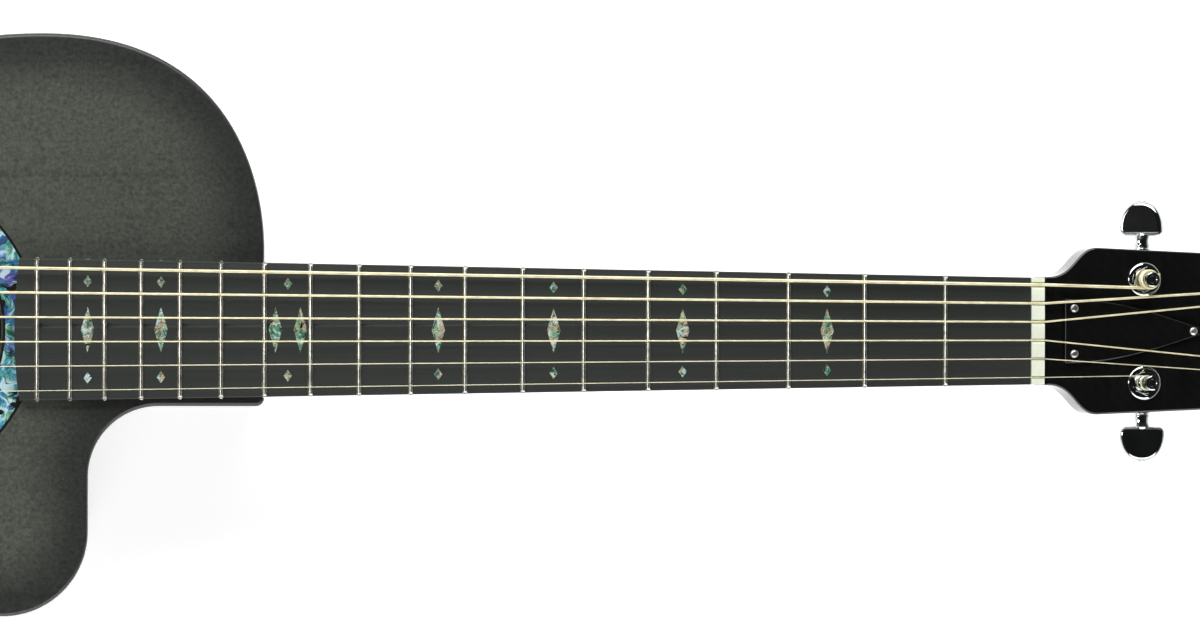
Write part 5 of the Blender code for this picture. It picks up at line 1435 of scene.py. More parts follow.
class GUITAR_OT_fingerboard(bpy.types.Operator):
    """Spins and trims the fingerboard, and sets its frets, markers and side dots"""

    bl_idname = "guitar.fingerboard"
    bl_label = "Fingerboard"

    def execute(self, context):
        sizes = context.scene.guitar_sizes
        board = crowned("fingerboard_blank", -BOARD_OVERHANG, NUT_X - GAP, BLANK_HALF, -0.002, BOARD_TOP)
        sliced(board, (0, 0, GAP), (0, 0, -1))
        slope = math.atan((BOARD_WIDTH_JOINT - BOARD_WIDTH_NUT) / 2 / NUT_X)
        for side in (-1, 1):
            sliced(board, (0, side * JOINT_HALF, 0), (math.sin(slope), side * math.cos(slope), 0))
        half = board_half(-BOARD_OVERHANG)
        bend = half * half / (2 * BOARD_END_BULGE)
        for k in range(-6, 7):
            angle = math.asin(half * k / 6.5 / bend)
            place = (-BOARD_OVERHANG + bend * (1 - math.cos(angle)), bend * math.sin(angle), 0)
            sliced(board, place, (-math.cos(angle), math.sin(angle), 0))

        def on_shoulder(edge):
            middle = (edge.verts[0].co + edge.verts[1].co) / 2
            beside = abs(abs(middle.y) - board_half(middle.x)) < 1e-4
            return beside and middle.z > BOARD_TOP - 0.002 and edge.calc_face_angle(0) > 0.8

        edit(board, "EDGE", False)
        pick(board, "EDGE", on_shoulder)
        bpy.ops.mesh.bevel(offset=BOARD_ROUNDING, segments=3, affect="EDGES", clamp_overlap=False)
        settle(board, "fingerboard_composite", stands_for=("fingerboard",), smooth=30)
        self.set_frets(sizes)
        self.set_markers(sizes)
        self.set_side_dots()
        return {"FINISHED"}

    def set_frets(self, sizes):
        begin()
        bpy.ops.mesh.primitive_circle_add(vertices=20, radius=1.0, fill_type="NGON")
        crown = named("fret_crown")
        scale = Matrix.Diagonal((sizes.fret_width * 0.39, 1, sizes.fret_height, 1))
        crown.data.transform(at(0, 0, BOARD_TOP) @ scale @ rotation("X", 90))
        spun(crown, BLANK_HALF, 16)
        # Each crown sits on a gold strip that shows on the body's side only: a painted highlight of the crown's
        # shoulder.
        low, high = BOARD_TOP - 0.0004, BOARD_TOP + 0.00016
        foot = crowned("painted_fret_glint", -sizes.fret_width * 0.58, sizes.fret_width * 0.34, BLANK_HALF, low, high, 16)
        lean = math.radians(FRET_END_LEAN)
        for number in range(1, FRET_COUNT + 1):
            x = NUT_X - fret_distance(number)
            edge = board_half(x) - FRET_END_SET_BACK
            for source, name, finish in ((crown, "fret", "fret_metal"), (foot, "fret_glint_strip", "painted_fret_glint")):
                fret = copied(source, f"{name}_{number}")
                for side in (-1, 1):
                    place = (0, side * edge, BOARD_TOP - board_crown(edge))
                    sliced(fret, place, (0, side * math.cos(lean), math.sin(lean)))
                settle(fret, finish, matrix=at(x, 0, 0), smooth=40)
        drop(crown, foot)

    def lozenge(self, length, width):
        """A pointed marker across the neck, let into the board."""
        high = BOARD_TOP + 0.00003
        piece = crowned("lozenge", -width / 2, width / 2, length / 2, BOARD_TOP - 0.0007, high, 12)
        for side in (-1, 1):
            for end in (-1, 1):
                normal = Vector((side * length, end * width, 0)).normalized()
                sliced(piece, (side * width / 2, 0, 0), normal)
        begin()
        return piece

    def set_markers(self, sizes):
        large = self.lozenge(sizes.marker_length, sizes.marker_width)
        small = self.lozenge(sizes.marker_length * POINT_LENGTH_SHARE, sizes.marker_width * POINT_WIDTH_SHARE)
        for number in MARKED_FRETS:
            x = marker_place(number)
            for i, shift in enumerate(marker_shifts(number, DOUBLE_MARKER_SHIFT)):
                piece = copied(large, f"marker_{number}_{i}", at(x + shift, 0, 0))
                settle(piece, "pearl")
            spread = NUT_SPREAD + (SADDLE_SPREAD - NUT_SPREAD) * (NUT_X - x) / SCALE_LENGTH
            aside = 2 * spread / (STRING_COUNT - 1)
            for i, y in enumerate((-aside, aside)):
                place = at(x, y, -board_crown(y))
                turn = Matrix.Rotation(-y / BOARD_RADIUS, 4, "X")
                lift = at(0, 0, BOARD_TOP)
                piece = copied(small, f"marker_point_{number}_{i}", place @ lift @ turn @ lift.inverted())
                settle(piece, "pearl")
        drop(large, small)

    def set_side_dots(self):
        radius = SIDE_DOT_RADIUS
        dot = turned("side_dot", ((radius, -0.0004), (radius, 0.00002), (radius * 0.8, 0.00006)), 20)
        for number in MARKED_FRETS:
            for i, shift in enumerate(marker_shifts(number, DOUBLE_DOT_SHIFT)):
                here = marker_place(number) + shift
                place = at(here, board_half(here), BOARD_TOP - SIDE_DOT_BELOW) @ rotation("X", -90)
                settle(copied(dot, f"side_dot_{number}_{i}"), "white_mark", matrix=place)
        drop(dot)


class GUITAR_OT_head_trim(bpy.types.Operator):
    """Adds the nut and the screwed cover of the truss rod"""

    bl_idname = "guitar.head_trim"
    bl_label = "Nut and cover"

    def execute(self, context):
        nut = packed_copy("nut", "string_nut")
        settle(nut, "bone", stands_for=("nut",), smooth=30)
        half = COVER_WIDTH / 2
        tip = COVER_AT + COVER_LENGTH
        lead, trail = (COVER_LENGTH * 0.45, 0), (-COVER_LENGTH * 0.28, half * 0.30)
        upper = curve_between((COVER_AT, half), lead, trail, (tip, 0), 24)
        outline = [Vector((p.x, -p.y)) for p in upper] + [Vector((tip, 0))] + upper[::-1]
        cover = slab("cover_plate", outline, GAP, GAP + COVER_THICKNESS, 0.0006, 4, both=False)
        settle(cover, "gloss_black", stands_for=("truss_rod_cover",), matrix=HEAD)
        head = screw("cover_screw", 0.00175, 0.0011)
        for i, (x, y, turn) in enumerate(COVER_SCREWS):
            place = at(x, y, GAP + COVER_THICKNESS) @ rotation("Z", turn)
            settle(copied(head, f"cover_screw_{i + 1}"), "plain_steel", matrix=HEAD @ place)
        drop(head)
        return {"FINISHED"}


class GUITAR_OT_machine_heads(bpy.types.Operator):
    """Models one machine head and copies it to the six places"""

    bl_idname = "guitar.machine_heads"
    bl_label = "Machine heads"

    def execute(self, context):
        radius = context.scene.guitar_sizes.washer_radius
        housing = self.make_housing(radius)
        post = self.make_post()
        button = self.make_button()
        mirror = Matrix.Scale(-1, 4, (0, 1, 0))
        for index in range(STRING_COUNT):
            place, side = post_place(index)
            number = index + 1
            seat = HEAD @ at(place.x, place.y, 0)
            case = copied(housing, f"machine_housing_{number}", mirror if side < 0 else None)
            outward(case)
            settle(case, "chrome", stands_for=(f"tuner_case_{number}",), matrix=seat)
            body = f"tuner_{number}_post"
            turn = rotation("Z", 35 + 50 * index)
            spindle = copied(post, f"string_post_{number}", turn)
            settle(spindle, "chrome", body, (f"tuner_post_{number}",), seat)
            axis = seat @ self.key_matrix(side) @ rotation("Z", BUTTON_TURNS[index])
            knob = copied(button, f"tuning_button_{number}")
            settle(knob, "chrome", f"tuner_{number}_button", (f"tuner_button_{number}",), axis)
        drop(housing, post, button)
        return {"FINISHED"}

    def key_matrix(self, side):
        """Axis of a tuning button from its post: Z outward to the headstock's edge."""
        depth = -HEAD_THICKNESS - GAP - KEY_AXIS_DEPTH
        turn = rotation("X", -90 * side)
        return at(KEY_AXIS_AHEAD, 0, depth) @ turn

    def make_housing(self, washer_radius):
        back = -HEAD_THICKNESS - GAP
        x0, x1 = -CASE_LENGTH / 2 + KEY_AXIS_AHEAD / 2, CASE_LENGTH / 2 + KEY_AXIS_AHEAD / 2
        case = block("case", (x0, -CASE_INNER, back - CASE_DEPTH), (x1, CASE_OUTER, back), 0.0022, 5)
        front = GAP + WASHER_THICKNESS
        dish = [(BUSHING_RADIUS, back - 0.001), (BUSHING_RADIUS, GAP), (washer_radius - 0.0002, GAP)]
        dish += [(washer_radius, GAP + 0.0002)]
        for k in range(9):
            turn = math.pi / 2 * k / 8
            reach = HEX_RADIUS - 0.0004 + (washer_radius - HEX_RADIUS + 0.0004) * math.cos(turn)
            dish.append((reach, GAP + 0.0003 + (WASHER_THICKNESS - 0.0003) * math.sin(turn)))
        dish += [(HEX_RADIUS * 0.8, front - 0.0001)]
        washer = turned("washer", dish, 48)
        corners = [Vector((math.cos(k * math.pi / 3 + 0.4), math.sin(k * math.pi / 3 + 0.4))) for k in range(6)]
        top = front + HEX_HEIGHT
        hexagon = slab("hexagon", [c * HEX_RADIUS for c in corners], front - 0.0003, top, 0.0003, 2)
        throat = ((HEX_RADIUS * 0.83, top - 0.0001), (HEX_RADIUS * 0.80, top + 0.0003))
        throat += ((POST_RADIUS + 0.0004, top + 0.0003), (POST_RADIUS + 0.0003, top - 0.0004))
        lip = turned("lip", throat, 32)
        collar_profile = (
            (KEY_COLLAR_RADIUS * 1.35, CASE_OUTER - 0.001),
            (KEY_COLLAR_RADIUS * 1.30, CASE_OUTER + 0.0006),
            (KEY_COLLAR_RADIUS * 1.02, CASE_OUTER + 0.0016),
            (KEY_COLLAR_RADIUS, KEY_COLLAR_END - 0.0003),
            (KEY_COLLAR_RADIUS - 0.0003, KEY_COLLAR_END),
        )
        collar = turned("collar", collar_profile, 32)
        collar.data.transform(self.key_matrix(1))
        lug = turned("lug", ((0.0030, back - 0.0022), (0.0030, back - 0.0003), (0.0027, back)), 28)
        lug.data.transform(at(x0 - 0.0012, -CASE_INNER + 0.0035, 0))
        fixing = screw("fixing", 0.0018, 0.0010)
        down = rotation("X", 180)
        fixing.data.transform(at(x0 - 0.0016, -CASE_INNER + 0.0035, back - 0.0022) @ down)
        cap = turned("cap", ((0.0040, -0.0004), (0.0040, 0.0001), (0.0036, 0.0005), (0.0012, 0.0007)), 32)
        cap.data.transform(at(0, 0, back - CASE_DEPTH) @ down)
        return joined("housing", case, washer, hexagon, lip, collar, lug, fixing, cap)

    def make_post(self):
        low = BUSHING_FRONT + 0.0010
        high = POST_HEIGHT - POST_CAP
        profile = [(POST_RADIUS, -HEAD_THICKNESS - GAP - POST_FOOT), (POST_RADIUS, low - 0.0005)]
        for k in range(9):
            share = k / 8
            drawn = math.sin(math.pi * share) ** 0.35 if 0 < share < 1 else 0.0
            width = POST_RADIUS - (POST_RADIUS - POST_WAIST) * drawn
            profile.append((width, low - 0.0003 + (high - low + 0.0006) * share))
        profile += [(POST_RADIUS, high + 0.0005), (POST_RADIUS, POST_HEIGHT - 0.0006)]
        profile += [(POST_RADIUS - 0.0002, POST_HEIGHT - 0.0002), (POST_RADIUS - 0.0006, POST_HEIGHT)]
        profile += [(POST_RADIUS * 0.55, POST_HEIGHT), (POST_RADIUS * 0.45, POST_HEIGHT - 0.0004)]
        post = turned("post", profile, 40)
        drill = turned("drill", ((POST_HOLE_RADIUS, -CUT_REACH), (POST_HOLE_RADIUS, CUT_REACH)), 16)
        drill.data.transform(at(0, 0, high - 2 * POST_HOLE_RADIUS) @ rotation("X", 90))
        return carved(post, drill)

    def make_button(self):
        half = BUTTON_WIDTH / 2
        corner = BUTTON_CORNER
        outline = []
        for start, x in ((-180, -half + corner), (-90, half - corner)):
            for k in range(9):
                angle = math.radians(start + 90 * k / 8)
                outline.append(Vector((x + corner * math.cos(angle), corner + corner * math.sin(angle))))
        for k in range(1, 32):
            angle = math.pi * k / 32
            x = half * math.copysign(abs(math.cos(angle)) ** 0.9, math.cos(angle))
            outline.append(Vector((x, corner + (BUTTON_HEIGHT - corner) * math.sin(angle) ** 0.9)))
        thick = BUTTON_THICKNESS / 2
        plate = slab("plate", outline, -thick, thick, 0.0019, 6)
        stand = at(0, 0, BUTTON_AT) @ rotation("X", 90)
        plate.data.transform(stand)
        profile = (
            (KEY_SHAFT_RADIUS, KEY_SHAFT_INNER),
            (KEY_SHAFT_RADIUS, KEY_COLLAR_END + GAP),
            (KEY_COLLAR_RADIUS * 0.85, KEY_COLLAR_END + GAP),
            (KEY_COLLAR_RADIUS * 0.90, KEY_COLLAR_END + GAP + 0.0003),
            (KEY_COLLAR_RADIUS * 0.90, KEY_COLLAR_END + GAP + 0.0012),
            (KEY_COLLAR_RADIUS * 0.85, KEY_COLLAR_END + GAP + 0.0015),
            (KEY_SHAFT_RADIUS, KEY_COLLAR_END + GAP + 0.0022),
            (KEY_SHAFT_RADIUS, BUTTON_AT - 0.0012),
            (KEY_COLLAR_RADIUS * 0.95, BUTTON_AT + 0.0004),
            (KEY_COLLAR_RADIUS * 0.80, BUTTON_AT + 0.0014),
        )
        shaft = turned("shaft", profile, 32)
        pin = screw("pin", 0.0020, 0.0009)
        pin.data.transform(at(0, 0, BUTTON_AT + BUTTON_HEIGHT - 0.0004))
        return joined("button", plate, shaft, pin)


class GUITAR_OT_bridge(bpy.types.Operator):
    """Draws the bridge, its saddle and its six pins"""

    bl_idname = "guitar.bridge"
    bl_label = "Bridge"

    def execute(self, context):
        settle(
            skin("bridge_block", self.bridge_rings()),
            "bridge_composite",
            stands_for=("bridge",),
            smooth=50,
        )
        self.make_saddle()
        self.make_pins()
        refinish("saddle_pickup", "plain_steel")
        refinish("bridge_plate", "core")
        return {"FINISHED"}

    def bridge_rings(self):
        half = BRIDGE_WIDTH / 2
        corner = BRIDGE_CORNER
        stations = []
        for k in range(9):
            turn = math.radians(90 - 90 * k / 9)
            stations.append((half - corner * (1 - math.sin(turn)), corner * (1 - math.cos(turn))))
        for k in range(25):
            stations.append((half - corner + (BRIDGE_FLAT_HALF - half + corner) * k / 24, 0.0))
        both = stations + [(-y, pull) for y, pull in reversed(stations)]
        rings = []
        for y, pull in both:
            rise = max(0.0, 1 - max(0.0, abs(y) - BRIDGE_FLAT_HALF) / (half - corner - BRIDGE_FLAT_HALF))
            height = BRIDGE_WING + (BRIDGE_HEIGHT - BRIDGE_WING) * rise**1.8
            x0 = SADDLE_X - BRIDGE_BEHIND + pull
            x1 = SADDLE_X + BRIDGE_AHEAD - pull
            ring = [(x0, GAP)]
            for k in range(6):
                turn = math.pi / 2 * k / 5
                ring.append((x0 + 0.0013 * (1 - math.cos(turn)), height - 0.0013 * (1 - math.sin(turn))))
            for k in range(6):
                turn = math.pi / 2 * k / 5
                ring.append((x1 - 0.0013 * (1 - math.sin(turn)), height - 0.0013 * (1 - math.cos(turn))))
            ring.append((x1, GAP))
            rings.append([(x, y, z) for x, z in ring])
        return rings

    def make_saddle(self):
        half = SADDLE_LENGTH / 2
        top = STRING_AT_SADDLE - GAP
        wide = SADDLE_THICKNESS / 2
        rings = []
        for k in range(33):
            y = half * (1 - 2 * k / 32)
            high = top - board_crown(y) - (0.0008 if k in (0, 32) else 0.0)
            ring = [(-wide, y, 0.0048)]
            for step in range(9):
                turn = math.pi * step / 8
                ring.append((-wide * math.cos(turn), y, high - wide * 0.6 * (1 - math.sin(turn))))
            ring.append((wide, y, 0.0048))
            rings.append(ring)
        place = at(SADDLE_X, 0, 0) @ Matrix.Rotation(SADDLE_SLANT, 4, "Z")
        settle(skin("saddle_strip", rings), "bone", stands_for=("saddle",), matrix=place, smooth=50)

    def make_pins(self):
        under = BRIDGE_HEIGHT + GAP
        profile = [(0.0021, under - PIN_LENGTH), (PIN_RADIUS, under - 0.001), (PIN_RADIUS, under)]
        profile += [(PIN_HEAD_RADIUS * 0.85, under), (PIN_HEAD_RADIUS, under + 0.0006)]
        for k in range(7):
            turn = math.pi / 2 * k / 7
            height = under + 0.0012 + (PIN_HEAD_HEIGHT - 0.0012) * math.sin(turn)
            profile.append((PIN_HEAD_RADIUS * math.cos(turn) ** 0.7, height))
        pin = turned("pin", profile, 32)
        top = under + PIN_HEAD_HEIGHT
        dot = turned("dot", ((PIN_DOT_RADIUS, under + 0.002), (PIN_DOT_RADIUS, top - 0.0002), (0.0006, top)), 24)
        for index in range(STRING_COUNT):
            place = at(PIN_X, string_place(index, SADDLE_SPREAD), 0)
            number = index + 1
            piece = copied(pin, f"string_pin_{number}")
            settle(piece, "soft_black", stands_for=(f"bridge_pin_{number}",), matrix=place)
            settle(copied(dot, f"pin_dot_{number}"), "shell", matrix=place)
        drop(pin, dot)


class GUITAR_OT_strings(bpy.types.Operator):
    """Draws the six strings from their pins over the saddle and nut to their posts"""

    bl_idname = "guitar.strings"
    bl_label = "Strings"

    def execute(self, context):
        for index, diameter in enumerate(STRING_DIAMETERS):
            if index < PLAIN_STRINGS:
                finish, slot, sides = "plain_string", "plain_steel", 10
            else:
                finish, slot, sides = "wound_bronze", "wound_bronze", 14
            string = cable(f"guitar_string_{index + 1}", self.route(index), diameter / 2, sides)
            settle(string, finish, stands_for=(f"string_{index + 1}",), smooth=60)
        return {"FINISHED"}

    def route(self, index):
        diameter = STRING_DIAMETERS[index]
        radius = diameter / 2
        y_saddle = string_place(index, SADDLE_SPREAD)
        y_nut = string_place(index, NUT_SPREAD)
        drop_x = PIN_X + PIN_HEAD_RADIUS + GAP + radius
        rear = saddle_place(y_saddle) - SADDLE_THICKNESS / 2
        front = saddle_place(y_saddle) + SADDLE_THICKNESS / 2
        z_saddle = STRING_AT_SADDLE - board_crown(y_saddle) + radius
        z_nut = STRING_AT_NUT - board_crown(y_nut) + radius
        plate_bottom = -TOP_THICKNESS - GAP - PLATE_THICKNESS
        knee = BRIDGE_HEIGHT + GAP + radius
        ends = [
            Vector((drop_x, y_saddle, plate_bottom)),
            Vector((drop_x, y_saddle, knee)),
            Vector((drop_x + 0.0004, y_saddle, knee + 0.0006)),
            Vector((rear, y_saddle, z_saddle - 0.0002)),
            Vector((rear * 0.5 + front * 0.5, y_saddle, z_saddle)),
            Vector((front, y_saddle, z_saddle)),
            Vector((NUT_X, y_nut, z_nut)),
            Vector((NUT_X + NUT_THICKNESS * 0.6, y_nut, z_nut - 0.00002)),
            Vector((NUT_X + NUT_THICKNESS + GAP, y_nut, z_nut - 0.0002)),
        ]
        return ends + [HEAD @ place for place in self.winding(HEAD.inverted() @ ends[-1], index)]

    def winding(self, start, index):
        """The run in, the loops that climb the post and the end that goes through its hole."""
        diameter = STRING_DIAMETERS[index]
        radius = POST_WAIST + GAP + diameter / 2
        centre, side = post_place(index)
        flat = Vector((start.x, start.y * side))
        middle = Vector((centre.x, centre.y * side))
        toward = middle - flat
        first = math.atan2(toward.y, toward.x) - math.asin(radius / toward.length) - math.pi / 2
        height = BUSHING_FRONT + WRAP_OVER_BUSHING
        rise = WRAP_TURNS * (diameter + WRAP_SPACE)
        turns = round(rise / (diameter * 1.06) * 2) / 2 + 0.25
        count = round(turns * WRAP_STEPS)
        points = []
        for k in range(count + 1):
            angle = first + math.tau * k / WRAP_STEPS
            x = middle.x + radius * math.cos(angle)
            y = middle.y + radius * math.sin(angle)
            points.append(Vector((x, y * side, height + rise * k / count)))
        angle = first + math.tau * count / WRAP_STEPS
        ahead = Vector((-math.sin(angle), math.cos(angle) * side, 0.1))
        return points + [points[-1] + ahead * share * max(diameter, 0.0008) for share in (0.5, 1.2, 2.0)]


class GUITAR_OT_preamp(bpy.types.Operator):
    """Finishes the preamp's panel and controls in the bass side"""

    bl_idname = "guitar.preamp"
    bl_label = "Preamp"

    def execute(self, context):
        panel = packed_copy("preamp_panel", "control_panel")
        settle(panel, "black_plastic", stands_for=("preamp_panel",))
        door = rounded(packed_copy("battery_door", "battery_cover"), 0.0003)
        settle(door, "black_plastic", "battery_door", ("battery_door",))
        self.make_sliders()
        self.make_knob(side_matrix(KNOB_AT, PREAMP_MIDDLE))
        self.make_switch(side_matrix(SWITCH_AT, PREAMP_MIDDLE))
        self.add_screws()
        refinish("preamp_case", "black_plastic")
        refinish("preamp_board", "circuit")
        self.make_battery()
        return {"FINISHED"}

    def add_tick(self, name, low, high, matrix):
        """A white tick on the panel between two places."""
        corners = (*low, PREAMP_PROUD - MARK_DEPTH), (*high, PREAMP_PROUD + MARK_PROUD)
        settle(block(name, *corners, 0.00008, 2), "white_mark", matrix=matrix)

    def make_sliders(self):
        """Ribbed caps with a white line, and the ticks beside their slots."""
        half, deep = SLIDER_CAP / 2, SLIDER_CAP / 2 * 0.75
        low, high = CONTROL_LOW, CONTROL_LOW + SLIDER_CAP_HEIGHT
        for name, distance in zip(("bass", "middle", "treble"), SLIDER_PLACES):
            place = side_matrix(distance, PREAMP_MIDDLE)
            cap = block("cap", (-half, -deep, low), (half, deep, high), 0.0005, 3)
            cutters = []
            for k in (-2, -1, 1, 2):
                y = k * deep / 2.6
                groove = (-half - 0.001, y - 0.00022, high - 0.0006), (half + 0.001, y + 0.00022, high + 0.001)
                cutters.append(block("groove", *groove))
            cap = carved(cap, *cutters)
            stem_half = SLIDER_SLOT_WIDTH / 2 - GAP
            ends = (-stem_half, -stem_half, CONTROL_FOOT), (stem_half, stem_half, low + 0.0005)
            stem = block("stem", *ends, 0.0002, 2)
            cap = joined(f"slider_cap_{name}", cap, stem)
            settle(cap, "soft_black", f"slider_{name}", (f"slider_{name}",), place)
            stripe = (-half + 0.0003, -0.00025, high - 0.0002), (half - 0.0003, 0.00025, high + MARK_PROUD)
            mark = block(f"slider_line_{name}", *stripe, 0.0001, 2)
            settle(mark, "white_mark", f"slider_{name}", matrix=place)
            for k in range(-2, 3):
                y = k * SLIDER_TRAVEL / 4
                inner = SLIDER_SLOT_WIDTH / 2 + 0.0019
                outer = inner + (0.0016 if k % 2 == 0 else 0.0009)
                self.add_tick(f"tick_{name}_{k + 3}", (inner, y - 0.0002), (outer, y + 0.0002), place)

    def make_knob(self, place):
        """The volume knob, fluted round its side."""
        low = CONTROL_LOW
        high = low + KNOB_HEIGHT
        flutes = 72
        profile = [(KNOB_SHAFT_RADIUS, CONTROL_FOOT), (KNOB_SHAFT_RADIUS, low)]
        profile += [(KNOB_RADIUS - 0.0003, low), (KNOB_RADIUS, low + 0.0004), (KNOB_RADIUS * 0.95, high - 0.0008)]
        profile += [(KNOB_RADIUS * 0.92, high - 0.0003), (KNOB_RADIUS * 0.86, high), (KNOB_RADIUS * 0.70, high)]
        profile += [(KNOB_RADIUS * 0.64, high - 0.0005)]
        knob = turned("volume_cap", profile, flutes)

        def on_flute(corner):
            reach = corner.co.xy.length
            step = round(math.atan2(corner.co.y, corner.co.x) / math.tau * flutes)
            return reach > KNOB_RADIUS * 0.91 and corner.co.z > low - 1e-5 and step % 3 == 0

        edit(knob, "VERT", False)
        pick(knob, "VERT", on_flute)
        bpy.ops.transform.resize(value=(0.95, 0.95, 1), center_override=(0, 0, 0))
        settle(knob, "soft_black", "volume_knob", ("volume_knob",), place, 25)
        stripe = (-0.00035, -KNOB_RADIUS * 0.85, high - 0.0002), (0.00035, -KNOB_RADIUS * 0.66, high + MARK_PROUD)
        settle(block("volume_line", *stripe, 0.0001, 2), "white_mark", "volume_knob", matrix=place)
        for k in range(11):
            turn = rotation("Z", 140 - 28 * k)
            reach = KNOB_RADIUS + 0.0012
            length = 0.0014 if k % 5 == 0 else 0.0008
            self.add_tick(f"volume_tick_{k + 1}", (-0.0002, -reach - length), (0.0002, -reach), place @ turn)

    def make_switch(self, place):
        """The tuner's push key with its dished face and the ring round it."""
        foot = CONTROL_FOOT + SWITCH_ROOM
        high = PREAMP_PROUD + SWITCH_PROUD
        radius = SWITCH_RADIUS
        profile = [(radius, foot), (radius, high - 0.0004), (radius - 0.0004, high)]
        profile += [(radius * 0.6, high - 0.00015), (radius * 0.3, high - 0.0003)]
        key = turned("tuner_key", profile, 36)
        settle(key, "soft_black", "tuner_switch", ("tuner_switch",), place)
        levels = PREAMP_PROUD - MARK_DEPTH, PREAMP_PROUD + 0.00006
        ring = annulus("switch_ring", radius + 0.0006, radius + 0.0012, *levels, 36)
        settle(ring, "white_mark", matrix=place)

    def add_screws(self):
        head = screw("panel_screw", 0.0015, 0.0006)
        number = 0
        for distance in PANEL_SCREW_PLACES:
            for aside in (-PANEL_SCREW_ASIDE, PANEL_SCREW_ASIDE):
                number += 1
                place = side_matrix(distance, PREAMP_MIDDLE + aside) @ at(0, 0, PREAMP_PROUD - MARK_PROUD)
                turn = rotation("Z", 37 * number)
                settle(copied(head, f"panel_screw_{number}"), "plain_steel", matrix=place @ turn)
        drop(head)

    def make_battery(self):
        battery = rounded(packed_copy("battery", "battery_block"), 0.0006, 60)
        settle(battery, "battery_skin", stands_for=("battery",))


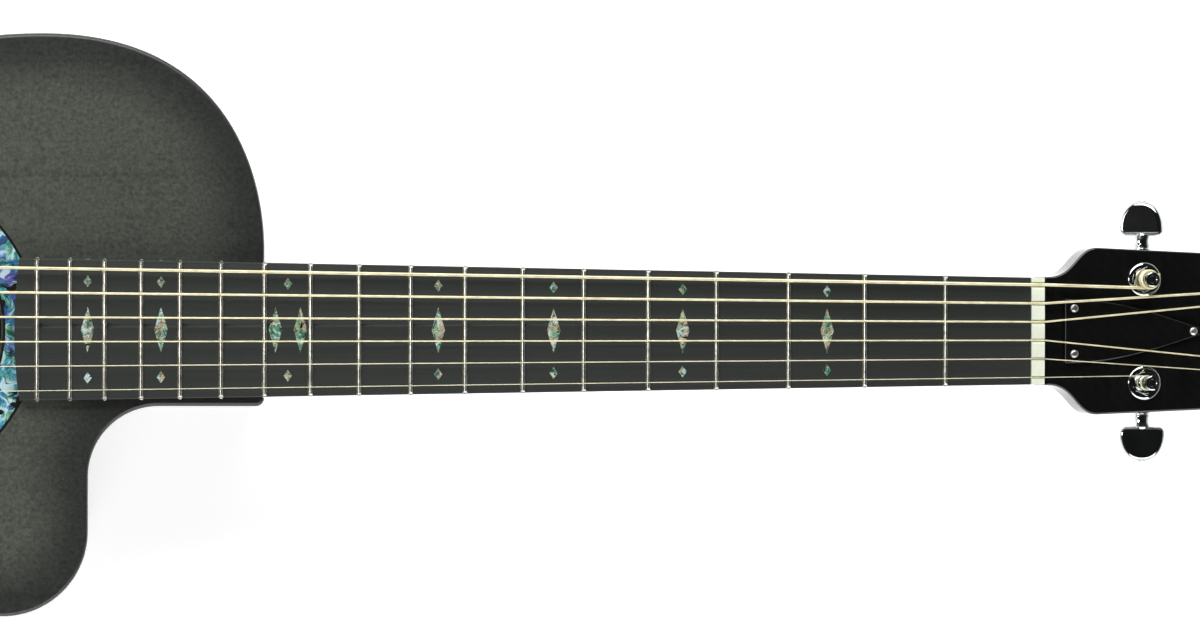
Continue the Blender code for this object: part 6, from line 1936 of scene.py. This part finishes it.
class GUITAR_OT_jack(bpy.types.Operator):
    """Turns the output jack and finishes what lies inside the body"""

    bl_idname = "guitar.jack"
    bl_label = "Jack and inside"

    def execute(self, context):
        flange = JACK_FLANGE_LENGTH
        waist = JACK_FLANGE_RADIUS * 0.72
        profile = [(JACK_RADIUS, JACK_LENGTH), (JACK_RADIUS, -GAP), (JACK_FLANGE_RADIUS * 0.92, -GAP)]
        profile += [(waist, -GAP - 0.0014), (waist, -GAP - flange + 0.0030)]
        profile += [(JACK_FLANGE_RADIUS, -GAP - flange + 0.0019), (JACK_FLANGE_RADIUS, -GAP - flange + 0.0009)]
        profile += [(waist, -GAP - flange + 0.0001), (waist * 0.9, -GAP - flange), (JACK_BORE, -GAP - flange)]
        profile += [(JACK_BORE, JACK_BORE_DEPTH)]
        socket = turned("jack_socket", profile, 48)
        settle(socket, "chrome", stands_for=("output_jack",), matrix=JACK_PLACE)
        refinish("jack_nut", "chrome")
        refinish("truss_rod", "plain_steel")
        for node in ("neck_block", "tail_block"):
            refinish(node, "core")
        self.lay_leads()
        return {"FINISHED"}

    def lay_leads(self):
        """The two leads inside the body, from the saddle's strip and from the jack to the preamp."""
        straight = LEAD_STRAIGHT
        middle = -PREAMP_MIDDLE
        side = SADDLE_LENGTH / 2 - 2 * LEAD_HOLE_RADIUS
        hole = Vector((saddle_place(side), side, SADDLE_SLOT_FLOOR))
        under = -TOP_THICKNESS - PLATE_THICKNESS
        entry = middle + LEAD_SPREAD / 2
        chest = -(WAIST_AT + LOWER_BOUT_AT) / 2
        pickup = (
            hole,
            (hole.x, hole.y, under),
            (hole.x, hole.y, under - straight),
            (hole.x + 2 * straight, hole.y + straight, under - 3 * straight),
            (chest + 2 * straight, PREAMP_BACK - straight, (under + entry) / 2 - straight),
            (-WAIST_AT, PREAMP_BACK - 2 * straight, entry),
            (-PICKUP_LEAD_AT, PREAMP_BACK - 2 * straight, entry),
            (-PICKUP_LEAD_AT, PREAMP_BACK - straight, entry),
            (-PICKUP_LEAD_AT, PREAMP_BACK - 2 * GAP, entry),
        )
        start = JACK_INNER_END
        height = -DEPTH_AT_TAIL / 2
        entry = middle - LEAD_SPREAD / 2
        rise = BACK_ARCH + BACK_THICKNESS + straight
        jack = (
            (start + 2 * GAP, 0, height),
            (start + straight, 0, height),
            (start + 2 * straight, 0, height),
            (start + 5 * straight, LOWER_BOUT_HALF / 6, back_height(-BODY_LENGTH, rise)),
            (-LOWER_BOUT_AT, LOWER_BOUT_HALF / 2, back_height(-LOWER_BOUT_AT, rise)),
            (chest, PREAMP_BACK, back_height(-LOWER_BOUT_AT, rise)),
            (-WAIST_AT, PREAMP_BACK - 3 * straight, entry),
            (-JACK_LEAD_AT, PREAMP_BACK - 2 * straight, entry),
            (-JACK_LEAD_AT, PREAMP_BACK - straight, entry),
            (-JACK_LEAD_AT, PREAMP_BACK - 2 * GAP, entry),
        )
        for node, places in (("pickup_lead", pickup), ("jack_lead", jack)):
            route = eased(smooth_route(places, 1.5 * LEAD_RADIUS), 6)
            piece = cable(f"{node}_cover", route, LEAD_RADIUS, 14)
            settle(piece, "lead_cover", stands_for=(node,), smooth=60)
            path = [LAY @ place for place in route]
            length = sum((b - a).length for a, b in zip(path, path[1:]))


OPERATORS = (
    GUITAR_OT_stage,
    GUITAR_OT_body,
    GUITAR_OT_rosette,
    GUITAR_OT_neck,
    GUITAR_OT_fingerboard,
    GUITAR_OT_head_trim,
    GUITAR_OT_machine_heads,
    GUITAR_OT_bridge,
    GUITAR_OT_strings,
    GUITAR_OT_preamp,
    GUITAR_OT_jack,
)


class GUITAR_PT_tools(bpy.types.Panel):
    """Lists the guitar's groups of pieces"""

    bl_label = "Guitar"
    bl_idname = "GUITAR_PT_tools"
    bl_space_type = "VIEW_3D"
    bl_region_type = "UI"
    bl_category = "Guitar"

    def draw(self, context):
        for group in (context.scene.guitar_sizes, context.scene.guitar_colours):
            for name in group.bl_rna.properties.keys():
                if name not in ("rna_type", "name"):
                    self.layout.prop(group, name)
        for operator in OPERATORS:
            self.layout.operator(operator.bl_idname)


CLASSES = (GuitarSizes, GuitarColours, *OPERATORS, GUITAR_PT_tools)


def register():
    for item in CLASSES:
        bpy.utils.register_class(item)
    bpy.types.Scene.guitar_sizes = bpy.props.PointerProperty(type=GuitarSizes)
    bpy.types.Scene.guitar_colours = bpy.props.PointerProperty(type=GuitarColours)


def unregister():
    del bpy.types.Scene.guitar_sizes
    del bpy.types.Scene.guitar_colours
    for item in reversed(CLASSES):
        bpy.utils.unregister_class(item)


def main():
    register()
    for maker in FINISH_MAKERS:
        maker(bpy.context.scene.guitar_colours)
    for operator in OPERATORS:
        group, name = operator.bl_idname.split(".")
        getattr(getattr(bpy.ops, group), name)()


if __name__ == "__main__":
    main()
